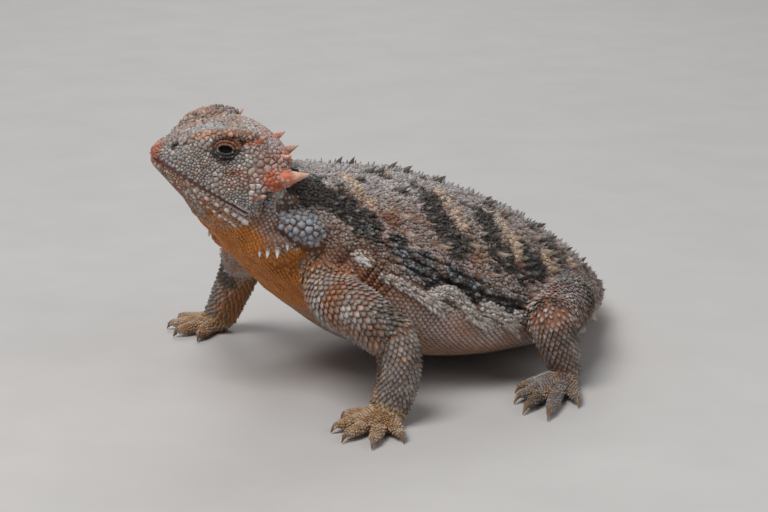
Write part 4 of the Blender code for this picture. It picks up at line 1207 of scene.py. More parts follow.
def strewn(kinds, count, rng, chosen=None):
    """Random places on the skin over some kinds of surface, with normals and samples."""
    points, tris, near = SKIN["points"], SKIN["tris"], SKIN["near"]
    use = tris[np.isin(SKIN["samples"].kinds[near[tris[:, 0]]], kinds)]
    if chosen is not None:
        use = use[chosen(near[use[:, 0]])]
    a, b, c = (points[use[:, i]] for i in range(3))
    area = np.linalg.norm(np.cross(b - a, c - a), axis=1)
    pick = rng.choice(len(use), count, p=area / area.sum())
    u, v = rng.random((2, count, 1))
    u, v = np.where(u + v > 1, 1 - u, u), np.where(u + v > 1, 1 - v, v)
    at = a[pick] + u * (b - a)[pick] + v * (c - a)[pick]
    out = unit(sum(SKIN["normals"][use[pick, k]] for k in range(3)))
    return at, out, near[use[pick, 0]]


def varied(colours, rng, amount=0.2):
    """Colours made a little lighter or darker from scale to scale."""
    f = 1 + amount * (2 * rng.random((len(colours[0]), 1)) - 1)
    return colours[0] * f, colours[1] * f


def spread_places(t, angle, last=BODY.last):
    """Places on the unwrap: along by station, across by angle."""
    return np.stack((0.02 + 0.96 * np.asarray(t) / last,
                     0.02 + 0.96 * (np.asarray(angle) % 360) / 360.0), 1)


# Operators

class LIZARD_OT_skin(bpy.types.Operator):
    """Rebuild body, head, limbs and toes as one skin with folds, sockets and markings"""
    bl_idname = "lizard.skin"
    bl_label = "Skin"

    def execute(self, context):
        s = sizes()
        inset = -s.coat_depth / MILLIMETRE
        shells = [rolled(170, 84, lambda a, v: BODY.at(v * BODY.last, a, inset))]
        shells += head_shells(inset)
        for limb in LIMBS:
            shells += limb_shells(limb, inset)
        points, tris = rebuilt(joined(shells), s.skin_grain / MILLIMETRE)
        samples = Samples()
        body, head, limb = (samples.distance(k, points) for k in (0, 1, 2))
        joint = smooth(2.4, 0.4, np.maximum(body, limb)) * (points[:, 2] > 3)
        joint = np.maximum(joint, smooth(1.6, 0.3, np.maximum(body, head)) * 0.5)
        points = relaxed(points, tris, np.full(len(points), 0.5), 3)
        points = relaxed(points, tris, 0.6 * joint, 24)
        points = carved(points, normals_of(points, tris), samples.nearest(points), samples)
        points = relaxed(points, tris, np.full(len(points), 0.3), 1)
        points[:, 2] = np.maximum(points[:, 2], 0.02)
        near, low, top = samples.colours(points)
        SKIN.update(tree=BVHTree.FromPolygons(points.tolist(), tris.tolist()), points=points,
                    tris=tris, near=near, samples=samples, normals=normals_of(points, tris))
        new_piece("lizard_skin", points, tris, low * 0.75 + top * 0.12, "skin", (
            "head", "jaw", "neck", "torso", "tail_base", "tail_tip",
            *(f"{part}_{side}" for side in ("left", "right")
              for part in ("upper_arm", "forearm", "hand", "thigh", "shank", "foot"))))
        return {"FINISHED"}


class LIZARD_OT_eyes(bpy.types.Operator):
    """Set the dark, wet eyes"""
    bl_idname = "lizard.eyes"
    bl_label = "Eyes"

    def execute(self, context):
        for side, sign in (("left", 1), ("right", -1)):
            centre, gaze, *_ = eye_axes(sign)
            bm = bmesh.new()
            bmesh.ops.create_uvsphere(bm, u_segments=64, v_segments=40, radius=EYE_RADIUS)
            axis = TURN @ gaze
            spin = Vector(axis).to_track_quat("Z", "Y").to_matrix().to_4x4()
            bmesh.ops.transform(bm, matrix=spin, verts=bm.verts)
            bmesh.ops.translate(bm, vec=Vector(posed(centre)), verts=bm.verts)
            points, tris = arrays(bm)
            off = np.degrees(np.arccos(np.clip(unit(points - posed(centre)) @ axis, -1, 1)))
            grain = noise(points, 0.25, 31)
            iris = mix(np.array((0.030, 0.012, 0.005)), np.array((0.07, 0.03, 0.012)), grain)
            tone = mix(np.zeros((1, 3)) + 0.003, iris * 0.6, smooth(25, 27, off))
            tone = mix(tone, np.array((0.010, 0.007, 0.005)), smooth(36, 42, off))
            new_piece(f"eyeball_{side}", points, tris, tone, "eye", (f"eye_{side}",))
        return {"FINISHED"}


def lid_ring(sign, wide, high, thick, lift):
    """Points of a closed lid fold round an eye, and its path."""
    centre, gaze, back, up = eye_axes(sign)

    def path(f):
        c, s = np.cos(f), np.sin(f)
        b, u = wide * np.sign(c) * np.abs(c) ** 0.9, high * s
        rho = np.hypot(b, u)
        ball_depth = np.sqrt(np.maximum((EYE_RADIUS + 0.16) ** 2 - rho ** 2, 0))
        depth = np.maximum(ball_depth, 1.25) + lift
        return (centre + b[:, None] * back + u[:, None] * up + depth[:, None] * gaze)

    def place(angle, share):
        f = share * 2 * math.pi
        mid = path(f)
        run = unit(path(f + 0.01) - path(f - 0.01))
        side = unit(mid - centre)
        across = unit(np.cross(run, side))
        a = np.radians(angle)
        r = thick * (1 + 0.12 * np.sin(f * 9))[:, None]
        return posed(mid + r * (side * np.cos(a)[:, None] + across * np.sin(a)[:, None]))
    return place, path


class LIZARD_OT_lids(bpy.types.Operator):
    """Model the folds and beads of the eyelids"""
    bl_idname = "lizard.lids"
    bl_label = "Eyelids"

    def execute(self, context):
        coat = Coat()
        rng = dice(9)
        bead = pebble()
        for sign in (1, -1):
            centre, *_, up = eye_axes(sign)
            for wide, high, thick, lift, beads in (
                    (0.98, 0.60, 0.17, 0.03, 24), (1.34, 0.96, 0.24, 0.04, 26),
                    (1.78, 1.42, 0.28, -0.04, 28)):
                place, path = lid_ring(sign, wide, high, thick, lift)
                shape, tris = arrays(rolled(96, 12, place, closed=False))
                upper = smooth(-0.2, 0.5, (in_head(shape) - centre) @ up)
                tone = mix(paint("blotch"), paint("rust") * 0.75, upper)
                if wide < 1.1:
                    tone = tone * 0.4
                coat.add_mesh(shape, tris, tone * (0.7 + 0.6 * noise(shape, 0.4, 33))[:, None],
                              np.array((0.5, 0.5)))
                f = np.arange(beads) / beads * 2 * math.pi
                mid = path(f)
                out = unit((mid - centre) @ TURN.T)
                run = unit((path(f + 0.02) - path(f - 0.02)) @ TURN.T)
                size = 0.26 * (0.8 + 0.4 * rng.random((beads, 1))) * np.ones(3)
                above = ((mid - centre) @ up > 0.1)[:, None]
                dots = mix(paint("blotch") * 1.5, paint("blue") * 0.6, rng.random(beads) > 0.7)
                top = np.where(above, mix(paint("rust"), paint("tan"), rng.random(beads)), dots)
                coat.add(bead, posed(mid) + out * thick * 0.8, out, run, size,
                         (top * 0.4, top), np.stack((0.1 + 0.1 * f, 0.3 + 0 * f), 1))
        coat.build("eyelids", "lid")
        return {"FINISHED"}


def horn_surface(root, tip, radius):
    """Places on a ridged horn, narrower at its root, by angle and by share of its length."""
    root, tip = np.array(root, float), np.array(tip, float)
    axis = unit(tip - root)
    side = unit(np.cross(axis, (0, 0, 1.0)))
    up = np.cross(side, axis)

    def place(angle, f):
        g = np.clip(f, 0, 1)
        mid = root + (tip - root) * f[:, None]
        mid[:, 2] -= 0.35 * np.sin(math.pi * g)
        r = radius * (1 - g) ** 0.85 * (0.55 + 0.45 * smooth(-0.12, 0.28, f)) + 0.05 * smooth(1.0, 0.97, g)
        a = np.radians(angle)
        r = r * (1 + 0.035 * np.cos(a * 9 + 5 * g) * (1 - g) + 0.02 * np.sin(g * 46) * (1 - g))
        return posed(mid + r[:, None] * (side * np.cos(a)[:, None] + up * np.sin(a)[:, None]))
    return place


def horn_form(root, tip, radius):
    """A horn sunk at its root, as a closed form."""
    place = horn_surface(root, tip, radius)
    return rolled(26, 28, lambda angle, share: place(angle, share * 1.12 - 0.12))


class LIZARD_OT_horns(bpy.types.Operator):
    """Grow the occipital, temporal and small head horns"""
    bl_idname = "lizard.horns"
    bl_label = "Horns"

    def execute(self, context):
        rng = dice(10)
        for side, sign in (("left", 1), ("right", -1)):
            jobs = [(f"occipital_horn_{side}", OCCIPITAL, (f"horn_occipital_{side}",)),
                    (f"temporal_horn_{side}", TEMPORAL, (f"horn_temporal_{side}",))]
            jobs += [(f"small_horn_{side}_{i}", h, ()) for i, h in enumerate(SMALL_HORNS, 1)]
            for name, (root, tip, radius), nodes in jobs:
                root, tip = mirrored(root, sign), mirrored(tip, sign)
                points, tris = arrays(horn_form(root, tip, radius))
                share = (in_head(points) - root) @ unit(tip - root) / np.linalg.norm(tip - root)
                tone = mix(paint("horn"), paint("horn_tip"), smooth(0.55, 1.0, share))
                tone = mix(tone, paint("white"), smooth(0.55, 0.75, noise(points, 0.5, 42)) * 0.35)
                tone = mix(tone, paint("rust"), smooth(0.45, 0.1, share) * 0.5)
                tone = tone * (0.75 + 0.5 * noise(points, 0.6, 41))[:, None]
                new_piece(name, points, tris, tone, "horn", nodes)
                self.add_plates(f"{name}_plates", root, tip, radius, rng)
        return {"FINISHED"}

    def add_plates(self, name, root, tip, radius, rng):
        """Close-fitting plates over the root half of a horn, smaller up the horn."""
        f, a = rng.uniform(0.08, 0.66, 5000), rng.uniform(0, 360, 5000)
        place = horn_surface(root, tip, radius)
        at = place(a, f)
        out = unit(np.cross(place(a + 4, f) - at, place(a, f + 0.02) - at))
        out *= np.sign(np.sum(out * (at - posed(root + (tip - root) * f[:, None])), 1))[:, None]
        gaps = (0.30 + 0.16 * radius) * (1.05 - 0.8 * f)
        pick = scattered(at, gaps, rng)
        pick = pick[f[pick] < 0.42 + 0.24 * rng.random(len(pick))]
        top = mix(paint("horn"), paint("white"), smooth(0.2, 1.0, rng.random(len(pick))) * 0.4)
        low = np.tile(paint("rust") * 0.8, (len(pick), 1))
        share = np.stack((f[pick], a[pick] / 360), 1)
        fitted_plates(name, at[pick], out[pick], gaps[pick], varied((low, top), rng), share, 0.12,
                      "plates")


def taken(index, *rows):
    """The chosen entries of several arrays."""
    return tuple(row[index] for row in rows)


def scattered(points, gaps, rng):
    """Indices of points chosen in random order, none nearer another than its own gap."""
    order = rng.permutation(len(points))
    cell = float(gaps.max())
    grid, chosen = {}, []
    keys = np.floor(points / cell).astype(int)
    for i in order:
        x, y, z = keys[i]
        near = [j for dx in (-1, 0, 1) for dy in (-1, 0, 1) for dz in (-1, 0, 1)
                for j in grid.get((x + dx, y + dy, z + dz), ())]
        if near:
            d = np.linalg.norm(points[near] - points[i], axis=1)
            if (d < 0.5 * (gaps[near] + gaps[i])).any():
                continue
        grid.setdefault((x, y, z), []).append(i)
        chosen.append(i)
    return np.array(chosen)


def cell_outline(at, side, up, others, reach):
    """Corners of the flat cell of places nearer to a root than to the others."""
    corners = [(reach * math.cos(a), reach * math.sin(a))
               for a in np.linspace(0, 2 * math.pi, 8, endpoint=False)]
    for other in others:
        dx, dy = (other - at) @ side, (other - at) @ up
        half = (dx * dx + dy * dy) / 2
        kept = []
        for k, (x0, y0) in enumerate(corners):
            x1, y1 = corners[(k + 1) % len(corners)]
            d0, d1 = half - (x0 * dx + y0 * dy), half - (x1 * dx + y1 * dy)
            if d0 >= 0:
                kept.append((x0, y0))
            if (d0 >= 0) != (d1 >= 0):
                f = d0 / (d0 - d1)
                kept.append((x0 + (x1 - x0) * f, y0 + (y1 - y0) * f))
        corners = kept
        if len(corners) < 3:
            return []
    return corners


def fitted_plates(name, at, out, gaps, colours, places, high, look):
    """Close-fitting plates, each a bevelled and domed cell round its root."""
    tree = search_tree(at)
    bm = bmesh.new()
    owner = bm.verts.layers.int.new("owner")
    faces = []
    for i, point in enumerate(at):
        near = [j for _, j, _ in tree.find_range(point, gaps[i] * 2.4) if j != i]
        side = unit(np.cross(out[i], (0.31, 0.52, 0.79)))
        up = np.cross(out[i], side)
        corners = cell_outline(point, side, up, at[near], gaps[i] * 0.86)
        if len(corners) < 3:
            continue
        verts = []
        for x, y in np.array(corners) * 0.96:
            vert = bm.verts.new(point + side * x + up * y - out[i] * 0.14)
            vert[owner] = i
            verts.append(vert)
        face = bm.faces.new(verts)
        face.normal_update()
        if face.normal.dot(Vector(out[i])) < 0:
            face.normal_flip()
        faces.append(face)
    mean = float(np.mean(gaps))
    bmesh.ops.inset_individual(bm, faces=faces, thickness=0.015, depth=0.14 + 0.35 * high)
    bmesh.ops.inset_individual(bm, faces=faces, thickness=0.11 * mean, depth=0.65 * high)
    bmesh.ops.poke(bm, faces=faces, offset=0.75 * high)
    bmesh.ops.holes_fill(bm, edges=[e for e in bm.edges if e.is_boundary], sides=0)
    bmesh.ops.triangulate(bm, faces=bm.faces)
    owners = plate_owners(bm, owner)
    points, tris = arrays(bm)
    local = points - at[owners]
    rise = smooth(-0.1, 0.6 * high, np.sum(local * out[owners], 1))
    new_piece(name, points, tris, mix(colours[0][owners], colours[1][owners], rise), look,
              places=places[owners] + local[:, [0, 2]] * 0.0015 / mean)


def plate_owners(bm, layer):
    """Root index of every vertex, spread from the outline over each plate."""
    bm.verts.ensure_lookup_table()
    bm.verts.index_update()
    owners = np.full(len(bm.verts), -1)
    for vert in bm.verts:
        if owners[vert.index] >= 0:
            continue
        stack, group = [vert], [vert.index]
        owners[vert.index] = 0
        while stack:
            here = stack.pop()
            for edge in here.link_edges:
                other = edge.other_vert(here)
                if owners[other.index] < 0:
                    owners[other.index] = 0
                    group.append(other.index)
                    stack.append(other)
        owners[group] = max(bm.verts[i][layer] for i in group)
    return owners


def bare_on_head(head):
    """Places of the head left without plates: eyes, horns, ears, nostrils and lips."""
    bare = (np.abs(mouth_level(head)) < 0.62) & (head[:, 1] < 11.6) & (head[:, 1] > 0.4)
    bare |= (np.abs(mouth_level(head)) < 0.25) & (head[:, 1] <= 0.4)
    for sign in (1, -1):
        centre, gaze, back, up = eye_axes(sign)
        rel = head - centre
        bare |= (np.hypot((rel @ back) / 1.95, (rel @ up) / 1.6) < 1) & (rel @ gaze > 0)
        for root, _, radius in (OCCIPITAL, TEMPORAL, *SMALL_HORNS):
            bare |= np.linalg.norm(head - mirrored(root, sign), axis=1) < radius * 0.8
        bare |= np.linalg.norm(head - mirrored(NOSTRIL, sign), axis=1) < 0.42
        ear = np.hypot((head[:, 1] - EAR_BACK) / 0.5, (head[:, 2] - EAR_UP) / 1.7)
        bare |= (ear < 1) & (head[:, 0] * sign > 5)
    return bare


def plate_gaps(points):
    """Spacing of the head's plates: finest at the lips and jaw, widest on crown and temple."""
    pitch = sizes().head_plate / MILLIMETRE
    head = in_head(points)
    crown = smooth(1.2, 3.0, head[:, 2])
    temple = smooth(9.0, 11.5, head[:, 1]) * smooth(-3.5, -1.5, head[:, 2])
    gap = pitch * (0.56 + 0.24 * crown + 0.28 * temple * (1 - crown))
    gap = gap * (0.85 + 0.9 * smooth(0.45, 0.85, noise(points, 1.2, 51)))
    return np.where(mouth_level(head) < -1.6, 0.60 * pitch, gap)


class LIZARD_OT_head_plates(bpy.types.Operator):
    """Cover the head with close-fitting rough plates"""
    bl_idname = "lizard.head_plates"
    bl_label = "Head plates"

    def execute(self, context):
        rng = dice(0)
        at, out, near = strewn((1,), 60000, rng)
        at, out, near = taken(~bare_on_head(in_head(at)), at, out, near)
        gaps = plate_gaps(at)
        at, out, near, gaps = taken(scattered(at, gaps, rng), at, out, near, gaps)
        samples = SKIN["samples"]
        places = spread_places(samples.t[near], samples.angle[near], HEAD.last)
        colours = varied(head_colours(at), rng, 0.24)
        level = mouth_level(in_head(at))
        left = in_head(at)[:, 0] > 0
        for name, part, high in (
                ("head_plates_left", (level > 0) & left, 0.17),
                ("head_plates_right", (level > 0) & ~left, 0.17),
                ("jaw_plates", level <= 0, 0.10)):
            fitted_plates(name, at[part], out[part], gaps[part],
                          (colours[0][part], colours[1][part]), places[part], high,
                          "plates")
        return {"FINISHED"}


def lip_line(sign, t, lift):
    """Points along the lips, above or below the mouth line, in the head's frame."""
    line = rows_at(MOUTH, t)
    back, level = line[:, 0], line[:, 1] + lift
    row = rows_at(HEAD.table, np.interp(back, HEAD.table[:, 1], np.arange(10)))
    high = level > row[:, 2]
    n = np.where(high, row[:, 8], row[:, 9])
    share = np.abs(level - row[:, 2]) / np.where(high, row[:, 6], row[:, 7])
    half = row[:, 5] * (1 - np.minimum(share, 0.999) ** n) ** (1 / n)
    return np.stack((sign * half, back, level), 1)


def lip_spots(sign, t, lift):
    """Places on the skin along the lips, with normals and the way along them."""
    at, normal, _ = settled(posed(lip_line(sign, t, lift)), 1.5)
    run = (lip_line(sign, t + 0.05, lift) - lip_line(sign, t - 0.05, lift)) @ TURN.T
    return at, normal, unit(run)


class LIZARD_OT_lips(bpy.types.Operator):
    """Lay the lip plates, the chin shields and a dark strip of painted shade along the line of the mouth"""
    bl_idname = "lizard.lips"
    bl_label = "Lips and chin"

    def execute(self, context):
        rng = dice(1)
        coat = Coat()
        plate, shield = granule(), keeled_scale(0.62, 0.30, 0.22, 0.52)
        # lift from the mouth line, count, along, tall, first and last place, share of white
        rows = ((0.30, 20, 0.62, 0.52, 1.05, 4.85, 0.55), (-0.30, 21, 0.58, 0.46, 1.05, 4.8, 0.30))
        for sign in (1, -1):
            for lift, count, wide, tall, first, last, pale in rows:
                t = np.linspace(first, last, count)
                grow = np.linspace(0.75, 1.25, count)[:, None]
                at, normal, run = lip_spots(sign, t, lift)
                size = np.array((tall, wide, 0.40)) * grow * (0.9 + 0.2 * rng.random((count, 1)))
                top = mix(paint("grey"), paint("white"), pale + 0.4 * rng.random(count))
                top = mix(top, paint("horn"), smooth(2.2, 1.2, t) * 0.7)
                coat.add(plate, at, normal, run, size, (top * 0.35, top), spread_places(t, t * 20, 5))
            for first, last, lift, slope, count, small, large in (
                    (2.5, 4.95, -0.95, -0.2, 7, 0.80, 1.15), (1.0, 4.3, -1.6, -0.8, 14, 0.50, 0.80)):
                f = np.linspace(0, 1, count)
                t = first + (last - first) * f
                at, normal, run = lip_spots(sign, t, lift + slope * f)
                size = np.outer(small + (large - small) * f, (0.82, 0.98, 1.0))
                top = mix(paint("white"), paint("cream"), 0.3 * rng.random(count))
                places = spread_places(t, 100 + t * 20, 5)
                coat.add(plate, at, normal, run, size, (paint("rust") * 0.4, top), places, (0.45, 0.8))
                end = slice(-1, None)
                coat.add(shield, at[end], normal[end], run[end], size[end] * 1.1,
                         (top[end] * 0.4, top[end]), places[end], (0.0, 0.5))
            centre = posed(mirrored(NOSTRIL, sign))
            at, normal, _ = settled(centre[None], 1.5)
            across = unit(np.cross(normal[0], (0, 0, 1.0)))
            above = np.cross(across, normal[0])
            a = np.arange(9) * 2 * math.pi / 9
            spots = at[0] + 0.46 * (across * np.cos(a)[:, None] + 0.8 * above * np.sin(a)[:, None])
            spots, out, _ = settled(spots, 1.0)
            coat.add(pebble(), spots, out, np.tile(above, (9, 1)), np.full((9, 3), 0.36),
                     (paint("rust"), paint("horn")), spread_places(a * 0 + 0.5, a * 40, 5))
        coat.build("lip_plates", "shields")
        # Painted shade: a dark strip along the mouth line stands for the shade in the seam between the
        # lips.
        pieces = []
        for sign in (1, -1):
            def place(angle, share, sign=sign):
                mid = posed(lip_line(sign, 0.95 + share * 4.0, 0.0))
                run = unit(posed(lip_line(sign, 1.0 + share * 4.0, 0.0)) - mid)
                out = unit(np.cross(run, TURN @ np.array((0, 0, 1.0)))) * sign
                up = np.cross(out, run)
                a = np.radians(angle)[:, None]
                return mid + 0.02 * out + 0.12 * out * np.cos(a) + 0.09 * up * np.sin(a)
            pieces.append(rolled(60, 8, place))
        points, tris = arrays(joined(pieces))
        new_piece("mouth_line", points, tris, None, "mouth")
        return {"FINISHED"}


class LIZARD_OT_back_scales(bpy.types.Operator):
    """Spread the small granular scales of neck, back and flanks"""
    bl_idname = "lizard.back_scales"
    bl_label = "Back scales"

    def execute(self, context):
        rng = dice(2)
        pitch = sizes().back_grain / MILLIMETRE
        form = pebble()
        for side, span in (("left", (-8, 90)), ("right", (90, 188))):
            for label, stretch in (("front", (0.3, 4.6)), ("rear", (4.6, 9.0))):
                coat = Coat()
                t, angle = staggered(BODY, stretch, span, pitch, rng, 0.75)
                _, at, out, along, t, angle = rooted(BODY, t, angle, 1.7)
                n = len(at)
                big = pitch * (0.82 + 0.5 * rng.random((n, 1)) ** 2)
                size = np.concatenate((big, big * 1.1, big * (0.7 + 1.1 * rng.random((n, 1)) ** 2)), 1)
                twist = unit(along + 0.35 * rng.normal(size=(n, 3)))
                coat.add(form, at, out, twist, size, varied(body_colours(t, angle, at), rng, 0.28),
                         spread_places(t, angle), (0.45, 0.85))
                coat.build(f"back_granules_{label}_{side}", "granules")
        return {"FINISHED"}


class LIZARD_OT_belly_scales(bpy.types.Operator):
    """Lay the flat scales of the belly and the fine scales of throat and chest"""
    bl_idname = "lizard.belly_scales"
    bl_label = "Belly scales"

    def execute(self, context):
        rng = dice(3)
        for name, stretch, span, pitch, form in (
                ("chest_scales", (0.2, 2.6), (187, 353), sizes().throat_grain, belly_shield(3)),
                ("belly_scales_right", (2.6, 9.3), (187, 270), sizes().belly_grain, belly_shield(2)),
                ("belly_scales_left", (2.6, 9.3), (270, 353), sizes().belly_grain, belly_shield(2))):
            coat = Coat()
            pitch = pitch / MILLIMETRE
            t, angle = staggered(BODY, stretch, span, pitch, rng, 0.12, 0.95)
            _, at, out, along, t, angle = rooted(BODY, t, angle, 1.7)
            size = np.array((0.84, 0.84, 1.15)) * pitch * (0.92 + 0.18 * rng.random((len(at), 1)))
            coat.add(form, at, out, along, size, varied(body_colours(t, angle, at), rng, 0.14),
                     spread_places(t, angle), (0.15, 0.7))
            coat.build(name, "shields")
        return {"FINISHED"}


class LIZARD_OT_limb_scales(bpy.types.Operator):
    """Spread the keeled, pointed scales of the limbs and feet"""
    bl_idname = "lizard.limb_scales"
    bl_label = "Limb scales"

    def execute(self, context):
        rng = dice(4)
        grain = sizes().limb_grain / MILLIMETRE
        form = keeled_scale(0.95, 0.26, 0.34, 0.52)
        for limb in LIMBS:
            coat = Coat()
            roots = []
            for part, tube in enumerate((*TUBES[limb], *TOES[limb])):
                pitch = grain * (1, 0.82, 0.7, 0.5)[min(part, 3)]
                span = (0.0, tube.last) if part < 3 else (0.6, 4.2)
                t, angle = staggered(tube, span, (0, 360), pitch, rng, 0.14)
                _, *spots = rooted(tube, t, angle, 0.8)
                spots = taken(self.apart(spots[0], roots, 0.62 * pitch), *spots)
                self.lay(coat, form, limb, part, pitch, rng, spots)
                roots.append(spots[0])
            self.fill(coat, form, limb, grain, rng, roots)
            coat.build(f"{limb}_scales", "keeled")
        return {"FINISHED"}

    def apart(self, at, roots, gap):
        """Which places lie clear of the roots laid so far."""
        if not roots or not len(at):
            return np.ones(len(at), bool)
        tree = search_tree(np.concatenate(roots))
        return np.array([tree.find(p)[2] > gap for p in at])

    def lay(self, coat, form, limb, part, pitch, rng, spots):
        """Scales on given roots, larger along the leading edge of the upper arm."""
        at, out, along, t, angle = spots
        n = len(at)
        big = pitch * (0.92 + 0.26 * rng.random(n))
        if part == 0:
            lead = np.radians(angle + (35 if limb.endswith("left") else 145))
            big = big * (1.0 + 0.30 * np.cos(lead)) * (0.62 + 0.38 * smooth(0.2, 1.3, t))
        size = np.stack((big, big, big * 1.25), 1)
        colours = limb_colours(limb, min(part, 2), t, angle, at)
        coat.add(form, at, out, along, size, varied(colours, rng), spread_places(t, angle, 5),
                 (0.30, 0.72))

    def fill(self, coat, form, limb, grain, rng, roots):
        """Scales on the joints, palms and webs that the rows leave bare."""
        samples = SKIN["samples"]
        mine = np.array([own[1] == limb for own in samples.parts])
        at, out, near = strewn((2,), 9000, rng, lambda near: mine[samples.owner[near]])
        at, out, near = taken(self.apart(at, roots, 0.50 * grain), at, out, near)
        chosen = scattered(at, np.full(len(at), 0.62 * grain), rng)
        at, out, near = taken(chosen, at, out, near)
        at, out, near = taken(at[:, 2] > 0.15, at, out, near)
        part = np.array([samples.parts[k][2] for k in samples.owner[near]])
        for k in np.unique(part):
            here = part == k
            self.lay(coat, form, limb, max(int(k), 1), grain * (0.72 if k < 3 else 0.5), rng,
                     (at[here], out[here], samples.along[near][here], samples.t[near][here],
                      samples.angle[near][here]))


class LIZARD_OT_tail_scales(bpy.types.Operator):
    """Lay the keeled rings of the tail"""
    bl_idname = "lizard.tail_scales"
    bl_label = "Tail scales"

    def execute(self, context):
        rng = dice(5)
        coat = Coat()
        form = keeled_scale(0.9, 0.24, 0.3)
        for stretch, pitch in (((8.9, 11.0), 0.78), ((11.0, 13.0), 0.68), ((13.0, 14.9), 0.5)):
            t, angle = staggered(BODY, stretch, (0, 360), pitch, rng, 0.08)
            _, at, out, along, t, angle = rooted(BODY, t, angle, 0.7)
            size = np.array((1.0, 1.0, 1.2)) * pitch * (0.9 + 0.2 * rng.random((len(at), 1)))
            coat.add(form, at, out, along, size, varied(body_colours(t, angle, at), rng),
                     spread_places(t, angle), (0.25, 0.75))
        coat.build("tail_scales", "keeled")
        return {"FINISHED"}


# Single spines of the back: station, angle, length
LONE_SPINES = ((2.65, 24, 1.7), (3.35, 24, 1.9), (3.95, 30, 2.0), (4.45, 30, 2.2), (5.40, 46, 1.9),
               (5.75, 43, 2.0), (2.10, -3, 1.3), (3.70, 86, 1.9), (4.20, 80, 2.0), (4.80, 66, 2.1),
               (4.95, 58, 2.1), (5.60, 60, 2.1), (5.75, 51, 1.8), (2.90, 80, 1.7), (1.45, 50, 1.3),
               (1.90, 62, 1.5), (2.10, 40, 1.3), (5.05, 16, 1.8), (5.90, 18, 1.9), (6.60, 14, 1.8))


def spine_sites():
    """Stations, angles, lengths and root radii of the large spines of back and tail."""
    sites = []
    for t, angle, long in LONE_SPINES:
        sites += [(t, a, 0.8 * long, 0.38 * long) for a in (angle, 180 - angle)]
    for row, angle in enumerate((78, 57, 36, 18)):
        count = 9 - row // 2
        for i in range(count):
            t = 2.5 + (i + 0.5 * (row % 2)) * 5.9 / count
            size = (1.0 - 0.12 * row) * (0.8 + 0.3 * math.sin(i * 2.4 + row))
            if min(abs(t - lone[0]) * 7 + abs(angle - lone[1]) * 0.3 for lone in LONE_SPINES) > 2.5:
                sites += [(t, a, 1.9 * size, 0.85 * size) for a in (angle, 180 - angle)]
    for row, angle in enumerate((70, 35, 5)):
        for i in range(9):
            t = 9.5 + (i + 0.5 * (row % 2)) * 0.58
            if t <= 14.4:
                size = 1.0 - 0.09 * i
                sites += [(t, a, 1.9 * size, 0.75 * size) for a in (angle, 180 - angle)]
    return np.array(sites)


